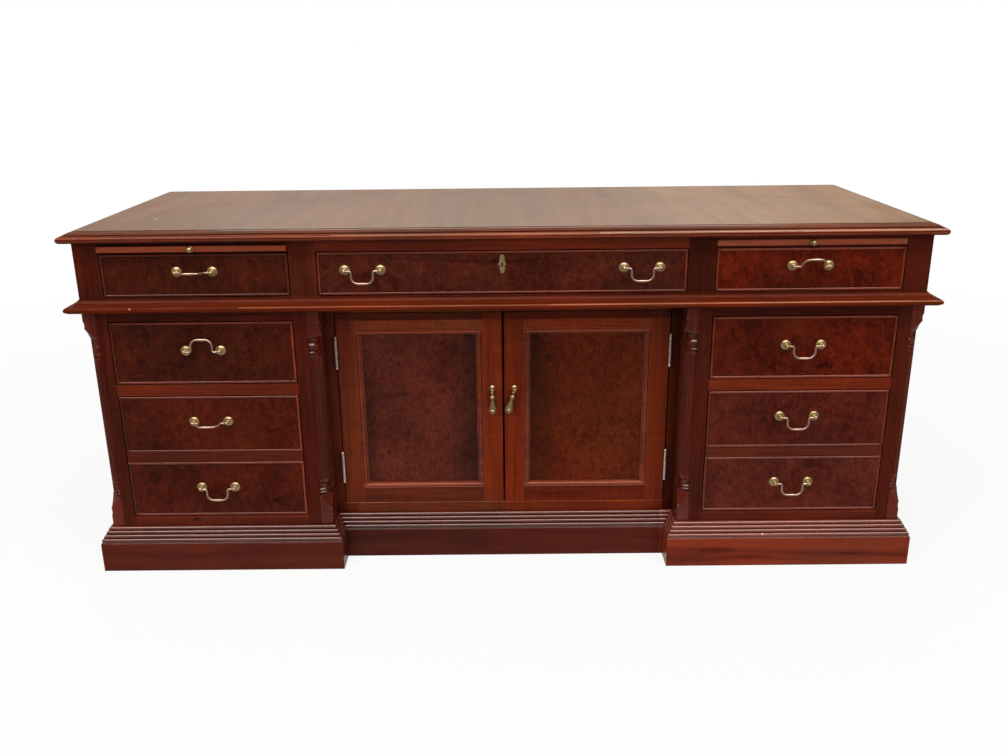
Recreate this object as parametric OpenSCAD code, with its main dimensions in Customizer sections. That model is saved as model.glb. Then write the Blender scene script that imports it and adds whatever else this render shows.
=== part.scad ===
// Breakfront credenza with drawers, writing slides and a recessed cupboard.
// Millimetres. +Z is up, the front faces -Y, the origin is on the floor under the middle of the box.

/* [Case widths and depth] */
// Width of the opening of each side drawer
drawer_w = 395; // [300:1:480]
// Width of the stile at the outer edge of a pedestal, corner column included
outer_stile_w = 52; // [42:1:80]
// Width of the stile beside the recess, corner column included
inner_stile_w = 54; // [42:1:80]
// Width of the two frieze stiles beside the centre drawer
frieze_stile_w = 57; // [40:1:80]
// Width of the recess between the pedestals
recess_w = 782; // [600:2:1000]
// Depth of the recess, from the pedestal faces to the door faces
recess_d = 57; // [40:1:90]
// Depth of the case, from the pedestal faces to the back
case_d = 588; // [500:1:720]
// Thickness of the face frames and case sides, and width of the corner columns
case_t = 25; // [22:1:30]
// Thickness of the inner boards
board_t = 18; // [12:1:22]
// Thickness of the back panels
back_t = 8; // [4:1:12]
// Height of the rail across the back of a pedestal
back_rail_h = 60; // [30:1:120]
// Glue line between neighbouring boards
glue = 0.1; // [0.05:0.01:0.2]

/* [Heights] */
// Height of the plinth
plinth_h = 68; // [50:1:110]
// Height of the reeded base moulding
base_h = 34; // [26:1:50]
// Height of the bottom rail that shows over the base moulding
bottom_rail_h = 24; // [15:1:40]
// Height of the lowest front
low_front_h = 132; // [110:1:180]
// Height of the strip between the two faces of the file drawer
strip_h = 26; // [12:1:40]
// Height of the middle front
mid_front_h = 133; // [110:1:180]
// Height of the rail under the top pedestal drawer
mid_rail_h = 26; // [12:1:40]
// Height of the top pedestal drawer's opening
top_front_h = 142; // [110:1:180]
// Height of the rail under the waist moulding
head_rail_h = 24; // [15:1:40]
// Height of the waist moulding and of the board behind it
waist_h = 25; // [20:1:34]
// Height of the sill under the frieze drawers
sill_h = 3.5; // [2:0.5:8]
// Height of the frieze drawers' openings
frieze_front_h = 95; // [85:1:130]
// Height of the thin rail between a frieze drawer and its writing slide
slide_rail_h = 3; // [2:0.5:8]
// Height of the opening of a writing slide
slide_h = 13; // [10:0.5:20]
// Height of the rail over a writing slide
slide_head_h = 8.5; // [5:0.5:16]
// Thickness of the top
top_t = 23; // [20:1:34]

/* [Mouldings] */
// How far the top stands out from the frieze
top_out = 22; // [16:1:34]
// Width of the moulded edge of the top
top_edge_w = 29; // [25:1:45]
// Radius of the round nose of the top
top_nose_r = 7.2; // [5:0.1:9]
// How far the waist moulding stands out
waist_out = 26; // [20:1:34]
// Radius of the round nose of the waist moulding
waist_nose_r = 6; // [4:0.1:8]
// How far the plinth stands out from the pedestals
plinth_out = 24; // [20:1:34]
// How much narrower the base moulding's foot is than the plinth
base_step = 3; // [1:0.5:6]
// Number of reeds on the base moulding
base_reeds = 4; // [3:1:5]
// How far the plinth reaches in under the case
plinth_in = 16; // [8:1:40]

/* [Corner columns] */
// Radius of the fluted shaft
shaft_r = 22.4; // [17:0.1:25]
// Radius of the turned rings
ring_r = 20; // [15:0.1:23]
// Radius of one flute
flute_r = 2; // [1:0.1:2.4]
// Number of flutes on each quarter
flutes = 5; // [3:1:6]
// Height of the square foot over the base moulding
col_foot_h = 41; // [25:1:60]
// Height of the square head under the waist
col_head_h = 20; // [10:1:50]
// Height of the curved stop
stop_h = 47; // [40:1:60]
// Height of the ringed capital
capital_h = 37; // [34:1:50]
// Height of the ringed base of the shaft
shaft_base_h = 26; // [25:1:40]

/* [Drawers] */
// Gap round each front in its opening
front_gap = 1.3; // [0.5:0.1:3]
// Thickness of a drawer front
front_t = 20; // [17:1:26]
// Thickness of the face of a file drawer's front
face_t = 6; // [4:1:8]
// Width of the bead round each front
bead_w = 3; // [2:0.2:5]
// Clearance between a drawer box and the board behind it
box_back_gap = 42; // [5:1:200]
// Thickness of the box sides and backs
box_t = 12; // [8:1:16]
// Thickness of the box bottoms
bottom_t = 6; // [4:1:10]
// Height from the lower edge of a box side to its bottom board
bottom_up = 8; // [4:1:16]
// How far each box side is set in from the edge of its opening
box_in = 8; // [4:1:16]
// Height of a frieze drawer box
frieze_box_h = 72; // [40:1:76]
// Height of a top pedestal drawer box
top_box_h = 112; // [60:1:120]
// Height of a file drawer box
file_box_h = 240; // [150:1:250]
// Height of a box's lower edge over the lower edge of its front
box_up = 2; // [1:0.5:5]
// Running gap between a drawer box and its runners
run_gap = 0.3; // [0.2:0.1:1]
// Gap between a box side and its guide
guide_gap = 0.8; // [0.4:0.1:2]
// Thickness of the runners in the pedestals
runner_t = 16; // [10:1:22]
// Height of the guides over the runners
guide_h = 24; // [10:1:40]

/* [Writing slides] */
// Length of a writing slide, front to back
slide_l = 420; // [250:1:520]
// Gap over and under a writing slide
slide_gap = 0.4; // [0.2:0.1:1]
// How far the left slide stands out at rest
slide_rest = 8; // [0:1:60]
// Width of the strips that carry the slides
slide_runner_w = 18; // [10:1:30]
// Thickness of the strips that carry the slides
slide_runner_t = 12; // [6:1:14]
// Radius of a slide knob
slide_knob_r = 6.5; // [4.5:0.1:9]
// Length of a slide knob
slide_knob_l = 15; // [12:0.5:24]

/* [Doors] */
// Width of the cupboard frame's stile at each door
door_jamb_w = 21.5; // [15:0.5:40]
// Gap at the hinged edge of a door
door_gap = 2.4; // [2.4:0.1:4]
// Gap between the two doors
meeting_gap = 2.6; // [2.2:0.1:5]
// Gap over and under a door
door_end_gap = 1.5; // [1:0.1:4]
// Thickness of a door
door_t = 20; // [18:1:26]
// Width of a door's hinge stile
door_stile_w = 41; // [30:1:70]
// Width of a door's meeting stile
door_meet_w = 44; // [30:1:70]
// Width of a door's rails
door_rail_w = 36; // [25:1:70]
// Width of the moulding round a door's panel
door_mould_w = 15; // [12:1:18]
// How far a door's panel is set back
panel_back = 6; // [4:0.5:8]
// Height of the cupboard shelf over the cupboard floor
shelf_up = 220; // [100:1:330]
// How far the cupboard shelf is set back from the doors
shelf_back = 40; // [10:1:150]
// Gap at each end of the shelf
shelf_gap = 1; // [0.5:0.5:3]
// Distance of the shelf pins from the front and back of the shelf
shelf_pin_in = 50; // [20:1:100]
// Radius of a shelf pin
shelf_pin_r = 3; // [2:0.5:4]
// Length of a shelf pin out of the side
shelf_pin_l = 10; // [6:1:16]

/* [Door hinges] */
// Length of a hinge's barrel
hinge_l = 64; // [40:1:90]
// Radius of the barrel
knuckle_r = 3.1; // [2.6:0.1:4.5]
// Radius of the hinge pin
hinge_pin_r = 1.4; // [1:0.1:1.8]
// Running clearance of the hinge pin
pin_clear = 0.1; // [0.02:0.01:0.1]
// Thickness of a hinge leaf
leaf_t = 0.9; // [0.6:0.1:1]
// Width of a hinge leaf behind the face
leaf_w = 16; // [10:1:17]
// Length of a finial at each end of the pin
finial_l = 7; // [5:0.5:12]
// Gap between two knuckles
knuckle_gap = 0.4; // [0.2:0.1:1]
// Height of a hinge's middle from the end of the door
hinge_from_end = 90; // [50:1:140]
// Gap between a barrel and the plane of the door's face
barrel_gap = 1.5; // [1:0.1:3]
// Depth that a hinge leaf is let into the edge of its door
leaf_pocket = 0.4; // [0.2:0.1:0.5]

/* [Bail pulls] */
// Distance between the two roses of a pull
pull_span = 75; // [68:1:100]
// Radius of a rose
rose_r = 11; // [8:0.5:16]
// Height of a rose's dome
rose_h = 4; // [2:0.5:6]
// Distance from the front to the middle of the ball posts
post_out = 13; // [11:0.5:20]
// Radius of a ball post's ball
post_ball_r = 4; // [3.4:0.1:5]
// Radius of a ball post's stem
post_stem_r = 2.8; // [2:0.1:4]
// Radius of the bail's rod
bail_r = 2; // [1.5:0.1:2.4]
// Radius at the middle of the bail's grip
grip_r = 2.7; // [2:0.1:3.4]
// Radius of the pin at each end of a bail
bail_pin_r = 1.6; // [1:0.1:2]
// Drop of the bail from its pivots to its grip
bail_drop = 27; // [20:0.5:40]
// Distance between the two legs of a bail
leg_span = 46; // [40:1:56]
// Bend radius of a bail's shoulders
shoulder_r = 4; // [3:0.1:6]
// Bend radius of a bail's lower corners
corner_r = 9; // [6:0.5:10]
// Height of the frieze pulls over the middle of their fronts
frieze_pull_up = 8; // [-10:1:15]
// Height of the other pulls over the middle of their fronts
pull_up = 6; // [-10:1:20]
// Distance of each pull of the centre drawer from the middle
centre_pull_x = 291.5; // [100:0.5:320]
// Rest angle of the left frieze bail, from hanging
left_frieze_angle = 98; // [0:1:180]
// Rest angle of the right frieze bail, from hanging
right_frieze_angle = 134; // [0:1:180]
// Rest angle of the left pedestal drawer's bail, from hanging
left_drawer_angle = 184; // [0:1:190]
// Rest angle of the upper bail of the left file drawer, from hanging
left_file_angle = 94; // [0:1:180]

/* [Lock] */
// Height of the keyhole over the middle of the centre front
keyhole_up = 18; // [0:1:22]
// Half height of the keyhole plate
plate_h = 20; // [14:0.5:22]
// Half width of the keyhole plate
plate_w = 8.5; // [6:0.5:12]
// Thickness of the keyhole plate
plate_t = 1.4; // [0.8:0.1:2]
// Radius of the keyhole
keyhole_r = 2.2; // [1.5:0.1:3]

/* [Drop pulls] */
// Height of the door pulls over the middle of the doors
door_pull_up = 51; // [-100:1:120]
// Distance of a door pull from the free edge of its door
door_pull_in = 23.5; // [12:0.5:36]
// Radius of a pull's button
button_r = 6.8; // [5:0.1:10]
// Height of the button's dome
button_h = 4; // [2:0.5:6]
// Radius of the stem that the drop hangs on
stem_r = 2; // [1.5:0.1:3]
// Radius of the ball at the end of the stem
stem_ball_r = 3.4; // [3:0.1:5]
// Distance from the door to the middle of the drop
drop_out = 11; // [11:0.5:16]
// Length of the drop from its stem to its tip
drop_l = 57; // [45:1:80]
// Largest radius of the drop
drop_r = 7.6; // [5:0.1:8]
// Outer radius of the ring at the head of the drop
drop_ring_r = 4.6; // [4.2:0.1:6]
// Width of that ring, front to back
drop_ring_w = 2.5; // [1.5:0.1:4]
// Rest angle of the right drop, to the left of hanging
right_drop_angle = 15; // [0:1:30]

/* [Hidden] */
$fn = 48;

mahogany = [0.36, 0.13, 0.08];
burl = [0.27, 0.11, 0.07];
inner_wood = [0.62, 0.45, 0.30];
brass = [0.72, 0.58, 0.32];

// Heights of the levels, from the floor up
z_base = plinth_h;
z_foot = z_base + base_h;
z_low = z_foot + bottom_rail_h;
z_strip = z_low + low_front_h;
z_mid = z_strip + strip_h;
z_mid_rail = z_mid + mid_front_h;
z_top_front = z_mid_rail + mid_rail_h;
z_head = z_top_front + top_front_h;
z_waist = z_head + head_rail_h;
z_frieze = z_waist + waist_h;
z_fdrawer = z_frieze + sill_h;
z_srail = z_fdrawer + frieze_front_h;
z_slide = z_srail + slide_rail_h;
z_shead = z_slide + slide_h;
z_top = z_shead + slide_head_h;
file_h = z_mid_rail - z_low;

// Depths: the inner face of the frieze's back rail, and the length of a drawer box behind its front
back_y = case_d - back_t - board_t;
box_l = back_y - front_t - box_back_gap;

// Lines across the front
half_recess = recess_w / 2;
half_w = half_recess + inner_stile_w + drawer_w + outer_stile_w;
bay_x = half_recess + inner_stile_w + drawer_w / 2;
half_centre = half_recess + inner_stile_w - frieze_stile_w;
centre_w = 2 * half_centre;
partition_x = half_centre + frieze_stile_w / 2;

// The frontmost point is a raised bail, and the origin is under the middle of the whole box
bail_reach = post_out + grip_r + bail_drop * max(sin(left_frieze_angle), sin(left_file_angle),
    sin(right_frieze_angle), sin(left_drawer_angle));
front_reach = max(bail_reach, top_out, waist_out, plinth_out, slide_rest + slide_knob_l,
    post_out + max(post_ball_r, grip_r));
face_y = (front_reach - case_d) / 2;

// Doors
door_open_w = half_recess - door_jamb_w;
hinge_x = door_open_w - door_gap / 2;
door_w = door_open_w - door_gap - meeting_gap / 2;
door_z = z_low + door_end_gap;
door_h = z_head - z_low - 2 * door_end_gap;
hinge_y = -knuckle_r - barrel_gap;
door_pull_z = door_z + door_h / 2 + door_pull_up;

function mid(p, q) = (p + q) / 2;
function across(p, q) = [q[1] - p[1], p[0] - q[0]] / norm(q - p);
// Middle of the circle of radius r that passes through p and q, on the side that across() points to
function arc_mid(p, q, r) = mid(p, q) + across(p, q) * sqrt(r * r - pow(norm(q - p) / 2, 2));

module at_face() { translate([0, face_y, 0]) children(); }
module both() { children(); mirror([1, 0, 0]) children(); }
module slab(lo, hi) { translate(lo) cube(hi - lo); }
// A board that leaves half a glue line along the axes that are marked with 1
module board(lo, hi, axes = [1, 1, 1]) { slab(lo + axes * glue / 2, hi - axes * glue / 2); }

// A moulding of the drawn section (x out from the wall, y up) along +X, outwards to -Y.
// m0 and m1 are 1 for an outside corner, -1 for an inside corner and 0 for a square end.
module mould_run(l, reach, h, m0, m1) {
    g = glue / 2;
    intersection() {
        translate([-reach - 1, 0, 0]) rotate([90, 0, 90]) linear_extrude(l + 2 * reach + 2)
            mirror([1, 0]) children();
        translate([0, 0, -1]) linear_extrude(h + 2)
            polygon([[g, 0], [l - g, 0], [l - g + m1 * reach, -reach], [g - m0 * reach, -reach]]);
    }
}

// One side of a flat frame that faces -Y: the drawn section has x inwards and y forwards.
module frame_side(l, w, back, fore) {
    g = glue / 2;
    intersection() {
        translate([-l / 2, 0, 0]) rotate([90, 0, 90]) linear_extrude(l) rotate(90) children();
        translate([0, back, 0]) rotate([90, 0, 0]) linear_extrude(back + fore)
            polygon([[g - l / 2, 0], [l / 2 - g, 0], [l / 2 - w - g, w], [g - l / 2 + w, w]]);
    }
}

// Four mitred sides round a rectangle of w by h that stands on the origin.
module flat_frame(w, h, side, back, fore) {
    frame_side(w, side, back, fore) children();
    translate([0, 0, h]) mirror([0, 0, 1]) frame_side(w, side, back, fore) children();
    for (s = [-1, 1]) translate([s * w / 2, 0, h / 2]) rotate([0, -s * 90, 0])
        frame_side(h, side, back, fore) children();
}

// Top

module top_section() {
    // x runs outwards from the flat board, y up
    nose_x = top_edge_w - top_nose_r;
    rise = top_t - 2 * top_nose_r - 0.8;
    run = nose_x - 3;
    curve_r = (run * run + rise * rise) / (2 * rise);
    square([nose_x, 2 * top_nose_r + 0.8]);
    translate([nose_x, top_nose_r]) circle(r = top_nose_r);
    square([1.5, top_t]);
    intersection() {
        translate([1.5, top_t - 1 - curve_r]) circle(r = curve_r);
        translate([1.5, 0]) square([run, top_t - 1]);
    }
}

module top_board() {
    w = half_w + top_out - top_edge_w;
    color(mahogany) at_face()
        slab([-w, top_edge_w - top_out, z_top], [w, case_d, z_top + top_t]);
}

module top_moulding() {
    w = half_w + top_out - top_edge_w;
    y = top_edge_w - top_out;
    color(mahogany) at_face() translate([0, 0, z_top]) {
        translate([-w, y, 0]) mould_run(2 * w, top_edge_w, top_t, 1, 1) top_section();
        both() translate([w, y, 0]) rotate(90)
            mould_run(case_d - y, top_edge_w, top_t, 1, 0) top_section();
    }
}

// Waist

module waist_section() {
    r = waist_nose_r;
    top_y = 1.5 + 2 * r;
    lip = waist_out - r - 2.5;
    cove = arc_mid([lip, top_y], [2.5, waist_h - 1.5], lip);
    square([waist_out - r, 1.5 + 2 * r]);
    translate([waist_out - r, 1.5 + r]) circle(r = r);
    square([2.5, waist_h]);
    difference() {
        square([lip, waist_h - 1.5]);
        translate(cove) circle(r = lip);
    }
}

module waist_moulding() {
    color(mahogany) at_face() translate([0, 0, z_waist]) {
        translate([-half_w, 0, 0]) mould_run(2 * half_w, waist_out, waist_h, 1, 1) waist_section();
        both() translate([half_w, 0, 0]) rotate(90)
            mould_run(case_d, waist_out, waist_h, 1, 0) waist_section();
    }
}

// Frieze

module frieze_case() {
    inner = half_w - case_t;
    color(mahogany) at_face() {
        board([-half_w, 0, z_waist], [half_w, case_d, z_frieze]);
        both() board([inner, case_t, z_frieze], [half_w, case_d, z_top]);
        both() board([partition_x - board_t / 2, case_t, z_frieze],
            [partition_x + board_t / 2, back_y, z_top]);
        board([-inner, back_y, z_frieze], [inner, case_d - back_t, z_top]);
    }
}

module frieze_frame() {
    inner = half_w - outer_stile_w;
    bay = inner - drawer_w;
    color(mahogany) at_face() {
        both() {
            board([inner, 0, z_frieze], [half_w, case_t, z_top]);
            board([half_centre, 0, z_frieze], [bay, case_t, z_top]);
            board([bay, 0, z_frieze], [inner, case_t, z_fdrawer]);
            board([bay, 0, z_srail], [inner, case_t, z_slide]);
            board([bay, 0, z_shead], [inner, case_t, z_top]);
        }
        board([-half_centre, 0, z_frieze], [half_centre, case_t, z_fdrawer]);
        board([-half_centre, 0, z_srail], [half_centre, case_t, z_top]);
    }
}

// Pedestals

module pedestal_case() {
    inner = half_recess + case_t;
    outer = half_w - case_t;
    board([half_recess, case_t, z_base], [inner, case_d, z_waist]);
    board([outer, case_t, z_base], [half_w, case_d, z_waist]);
    board([inner, case_t, z_foot - board_t], [outer, case_d - back_t, z_foot]);
    board([inner, back_y, z_waist - back_rail_h], [outer, case_d - back_t, z_waist]);
}

module pedestal_cases() { color(mahogany) at_face() both() pedestal_case(); }

module pedestal_frame() {
    lo = bay_x - drawer_w / 2;
    hi = bay_x + drawer_w / 2;
    board([half_recess + case_t, 0, z_base], [lo, case_t, z_waist]);
    board([hi, 0, z_base], [half_w - case_t, case_t, z_waist]);
    board([lo, 0, z_base], [hi, case_t, z_low]);
    board([lo, 0, z_mid_rail], [hi, case_t, z_top_front]);
    board([lo, 0, z_head], [hi, case_t, z_waist]);
}

module pedestal_frames() { color(mahogany) at_face() both() pedestal_frame(); }

// Corner columns. Each stands in a square notch of case_t whose outer corner is the origin.

// Upright section along the notch's diagonal: x from the corner inwards, y up.
// The square end is above, the curved stop cuts deeper downwards.
module stop_section(h, square_h) {
    deep = case_t * sqrt(2) - ring_r;
    y0 = h - square_h;
    y1 = y0 - stop_h * 0.42;
    y2 = y0 - stop_h;
    cove_a = arc_mid([0, y0], [deep * 0.4, y1], stop_h * 0.55);
    cove_b = arc_mid([deep * 0.3, y1 - 2], [deep, y2], stop_h * 0.8);
    difference() {
        translate([0, y2]) square([2 * case_t, h - y2]);
        intersection() {
            translate(cove_a) circle(r = stop_h * 0.55);
            translate([-1, y1 - 3]) square([case_t, y0 - y1 + 3]);
        }
        intersection() {
            translate(cove_b) circle(r = stop_h * 0.8);
            translate([-1, y2 - 1]) square([2 * case_t, y1 - y2]);
        }
    }
}

module square_end(h, square_h) {
    rotate(45) translate([0, 2 * case_t, 0]) rotate([90, 0, 0])
        linear_extrude(4 * case_t) stop_section(h, square_h);
}

module ring(r, thick) { translate([r, 0]) circle(r = thick); }

// Turned capital: x is the radius, y runs down from the stop
module capital_section() {
    square([ring_r - 4, capital_h]);
    square([ring_r - 1, 2]);
    translate([0, 4]) ring(ring_r - 1.6, 1.8);
    square([ring_r - 1.6, 5.8]);
    translate([0, 12]) square([ring_r - 3.2, 9]);
    translate([0, 16.5]) ring(ring_r - 3.4, 4.6);
    translate([0, 25]) square([ring_r - 2.4, 5]);
    translate([0, 27.5]) ring(ring_r - 2.4, 2);
    translate([0, capital_h - 6]) square([shaft_r, 6]);
}

module base_section() {
    square([ring_r - 3, shaft_base_h]);
    square([ring_r - 1.8, 4.5]);
    translate([0, 2.2]) ring(ring_r - 1.8, 2.2);
    translate([0, 9]) ring(ring_r - 1.6, 2.8);
    translate([0, 19]) ring(ring_r - 1.4, 1.8);
    translate([0, 22]) square([shaft_r, shaft_base_h - 22]);
}

module in_notch(z, h) { intersection() { translate([0, 0, z]) cube([case_t, case_t, h]); children(); } }

module column() {
    h = z_waist - z_base;
    foot_h = base_h + col_foot_h + stop_h;
    head_h = col_head_h + stop_h;
    z0 = foot_h + shaft_base_h;
    z1 = h - head_h - capital_h;
    in_notch(h - head_h, head_h) square_end(h, col_head_h);
    in_notch(0, foot_h) translate([0, 0, h]) mirror([0, 0, 1]) square_end(h, base_h + col_foot_h);
    in_notch(z1, capital_h) translate([case_t, case_t, h - head_h]) mirror([0, 0, 1])
        rotate_extrude() capital_section();
    in_notch(foot_h, shaft_base_h) translate([case_t, case_t, foot_h])
        rotate_extrude() base_section();
    in_notch(z0, z1 - z0) translate([case_t, case_t, z0]) difference() {
        cylinder(r = shaft_r, h = z1 - z0);
        for (i = [0 : flutes - 1]) rotate(180 + 90 * (i + 0.5) / flutes)
            translate([shaft_r, 0, 4]) cylinder(r = flute_r, h = z1 - z0 - 8);
    }
}

module corner_columns() {
    color(mahogany) at_face() both() translate([0, 0, z_base]) {
        translate([half_recess, 0, 0]) column();
        translate([half_w, 0, 0]) mirror([1, 0, 0]) column();
    }
}

// Cupboard

module cupboard_frame() {
    y = recess_d;
    color(mahogany) at_face() {
        both() board([door_open_w, y, z_base], [half_recess, y + case_t, z_waist]);
        board([-door_open_w, y, z_base], [door_open_w, y + case_t, z_low]);
        board([-door_open_w, y, z_head], [door_open_w, y + case_t, z_waist]);
        board([-half_recess, y + case_t, z_low - board_t], [half_recess, case_d - back_t, z_low]);
    }
}

shelf_z = z_low + shelf_up;
shelf_y0 = recess_d + door_t + shelf_back;
shelf_y1 = case_d - back_t - 2;

module cupboard_shelf() {
    w = half_recess - shelf_gap;
    color(mahogany) at_face() slab([-w, shelf_y0, shelf_z], [w, shelf_y1, shelf_z + board_t]);
}

module shelf_pins() {
    color(brass) at_face() both() for (y = [shelf_y0 + shelf_pin_in, shelf_y1 - shelf_pin_in])
        translate([half_recess, y, shelf_z - shelf_pin_r]) rotate([0, -90, 0])
            cylinder(r = shelf_pin_r, h = shelf_pin_l);
}

module back_panels() {
    color(inner_wood) at_face() {
        both() board([half_recess + case_t, case_d - back_t, z_base],
            [half_w - case_t, case_d, z_waist]);
        board([-half_recess, case_d - back_t, z_base], [half_recess, case_d, z_waist]);
        board([-half_w + case_t, case_d - back_t, z_frieze], [half_w - case_t, case_d, z_top]);
    }
}

// Base

module base_section_2d() {
    // Reeds that step outwards and down from the case to the plinth
    foot = plinth_out - base_step;
    step_h = (base_h - 3) / base_reeds;
    step_w = (foot - 3) / base_reeds;
    square([plinth_out - 1, 1.5]);
    square([foot, 3]);
    square([1.5, base_h]);
    for (i = [0 : base_reeds - 1]) {
        x = foot - (i + 1) * step_w;
        y = 3 + i * step_h;
        square([x + step_w * 0.3, y + step_h]);
        translate([x + step_w * 0.3, y + step_h / 2]) circle(r = step_h / 2);
    }
}

// The seven lengths of the breakfront, each drawn with the child section
module breakfront(reach, h) {
    translate([-half_recess, recess_d, 0]) mould_run(recess_w, reach, h, -1, -1) children();
    both() {
        translate([half_recess, recess_d, 0]) rotate(-90)
            mould_run(recess_d, reach, h, -1, 1) children();
        translate([half_recess, 0, 0]) mould_run(half_w - half_recess, reach, h, 1, 1) children();
        translate([half_w, 0, 0]) rotate(90) mould_run(case_d, reach, h, 1, 0) children();
    }
}

module base_moulding() {
    color(mahogany) at_face() translate([0, 0, z_base])
        breakfront(plinth_out, base_h) base_section_2d();
}

module bearer(lo, hi) {
    board([lo[0], lo[1], 0], [hi[0], hi[1], plinth_h], [1, 1, 0]);
}

module plinth() {
    w = half_w - plinth_in;
    color(mahogany) at_face() {
        breakfront(plinth_out, plinth_h) {
            square([plinth_out - 2, plinth_h]);
            square([plinth_out, plinth_h - 2]);
            translate([plinth_out - 2, plinth_h - 2]) circle(r = 2);
        }
        // Bearers behind the moulded boards, under the case
        bearer([-half_recess, recess_d], [half_recess, recess_d + plinth_in]);
        both() {
            bearer([half_recess, 0], [half_w, plinth_in]);
            bearer([w, plinth_in], [half_w, case_d - plinth_in]);
            bearer([half_recess, plinth_in], [half_recess + case_t, case_d - plinth_in]);
        }
        bearer([-half_w, case_d - plinth_in], [half_w, case_d]);
    }
}

// Drawers. Each front stands on the origin, faces -Y and is w by h.

module bead_section() {
    translate([0, -front_t]) square([bead_w, front_t]);
    translate([bead_w / 2, 0]) circle(r = bead_w / 2);
}

module plain_front(w, h) {
    board([-w / 2 + bead_w, 0, bead_w], [w / 2 - bead_w, front_t, h - bead_w], [2, 0, 2]);
    flat_frame(w, h, bead_w, front_t, bead_w) bead_section();
}

module face_bead_section() {
    translate([0, glue - face_t]) square([bead_w, face_t - glue]);
    translate([bead_w / 2, 0]) circle(r = bead_w / 2);
}

module file_front(w, h, low, high) {
    slab([-w / 2, face_t, 0], [w / 2, front_t, h]);
    slab([-w / 2, 0, low + glue], [w / 2, face_t - glue, h - high - glue]);
    for (f = [[0, low], [h - high, high]]) translate([0, 0, f[0]]) {
        slab([glue + bead_w - w / 2, 0, bead_w + glue],
            [w / 2 - bead_w - glue, face_t - glue, f[1] - bead_w - glue]);
        flat_frame(w, f[1], bead_w, face_t, bead_w) face_bead_section();
    }
}

// Box behind a front of width w: its lower edge is box_up over the front's
module drawer_box(w, h) {
    o = w / 2 - box_in;
    i = o - box_t;
    end = front_t + box_l;
    translate([0, 0, box_up]) {
        both() board([i, front_t, 0], [o, end, h], [1, 0, 0]);
        board([-i, end - box_t, 0], [i, end, h], [1, 1, 0]);
        board([-i, front_t, bottom_up], [i, end - box_t, bottom_up + bottom_t], [1, 1, 0]);
    }
}

// Bail pulls. The origin is on the front, midway between the roses.

module rose_dome(r, h) {
    dome_r = (r * r + h * h) / (2 * h);
    rotate([90, 0, 0]) rotate_extrude() intersection() {
        translate([0, h - dome_r]) circle(r = dome_r);
        square([r, h]);
    }
}

// A ball bored along the X axis
module bored_ball(r, bore) {
    rotate([0, 90, 0]) rotate_extrude() difference() {
        circle(r = r);
        translate([-r - 1, -r - 1]) square([r + 1 + bore, 2 * r + 2]);
    }
}

module post() {
    rose_dome(rose_r, rose_h);
    rotate([90, 0, 0]) cylinder(r = post_stem_r, h = post_out - bail_pin_r - 0.9);
    translate([0, -post_out, 0]) bored_ball(post_ball_r, bail_pin_r + pin_clear);
}

module posts() { both() translate([pull_span / 2, 0, 0]) post(); }

module bend(r, tube, a) { rotate_extrude(angle = a) translate([r, 0]) circle(r = tube); }

// A hanging bail whose pivot line is the X axis, its grip bail_drop below
module bail() {
    knee = leg_span / 2;
    arm = pull_span / 2 - post_ball_r - 0.4;
    grip = knee - corner_r;
    both() {
        translate([arm - 0.5, 0, 0]) rotate([0, 90, 0])
            cylinder(r = bail_pin_r, h = post_ball_r + 2.5);
        translate([knee + shoulder_r, 0, 0]) rotate([0, 90, 0])
            cylinder(r = bail_r, h = arm - knee - shoulder_r);
        translate([knee + shoulder_r, 0, -shoulder_r]) rotate([90, 0, 0]) rotate(90)
            bend(shoulder_r, bail_r, 90);
        translate([knee, 0, corner_r - bail_drop])
            cylinder(r = bail_r, h = bail_drop - corner_r - shoulder_r);
        translate([grip, 0, corner_r - bail_drop]) rotate([90, 0, 0]) rotate(-90)
            bend(corner_r, bail_r, 90);
        translate([0, 0, -bail_drop]) rotate([0, 90, 0])
            cylinder(r1 = grip_r, r2 = bail_r, h = grip);
    }
}

module hung_bail(x, y, z, angle) {
    color(brass) at_face() translate([x, y - post_out, z]) rotate([-angle, 0, 0]) bail();
}

// A whole drawer front, box or set of posts in its place

front_w = drawer_w - 2 * front_gap;
centre_front_w = centre_w - 2 * front_gap;
frieze_fh = frieze_front_h - 2 * front_gap;
top_fh = top_front_h - 2 * front_gap;
file_fh = file_h - 2 * front_gap;
low_fh = low_front_h - front_gap;
mid_fh = mid_front_h - front_gap;
frieze_pull_z = z_fdrawer + frieze_front_h / 2 + frieze_pull_up;
top_pull_z = z_top_front + top_front_h / 2 + pull_up;
mid_pull_z = z_mid + mid_front_h / 2 + pull_up;
low_pull_z = z_low + low_front_h / 2 + pull_up;

module at_bay(s, z) { at_face() translate([s * bay_x, 0, z + front_gap]) children(); }

module side_frieze_front(s) { color(burl) at_bay(s, z_fdrawer) plain_front(front_w, frieze_fh); }
module side_frieze_box(s) { color(inner_wood) at_bay(s, z_fdrawer) drawer_box(front_w, frieze_box_h); }
module side_frieze_posts(s) { color(brass) at_face() translate([s * bay_x, 0, frieze_pull_z]) posts(); }
module side_drawer_front(s) { color(burl) at_bay(s, z_top_front) plain_front(front_w, top_fh); }
module side_drawer_box(s) { color(inner_wood) at_bay(s, z_top_front) drawer_box(front_w, top_box_h); }
module side_drawer_posts(s) { color(brass) at_face() translate([s * bay_x, 0, top_pull_z]) posts(); }
module side_file_front(s) {
    color(burl) at_bay(s, z_low) file_front(front_w, file_fh, low_fh, mid_fh);
}
module side_file_box(s) { color(inner_wood) at_bay(s, z_low) drawer_box(front_w, file_box_h); }
module side_file_posts(s) {
    color(brass) at_face() for (z = [low_pull_z, mid_pull_z]) translate([s * bay_x, 0, z]) posts();
}

// Centre drawer

keyhole_z = z_fdrawer + frieze_front_h / 2 + keyhole_up;

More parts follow.
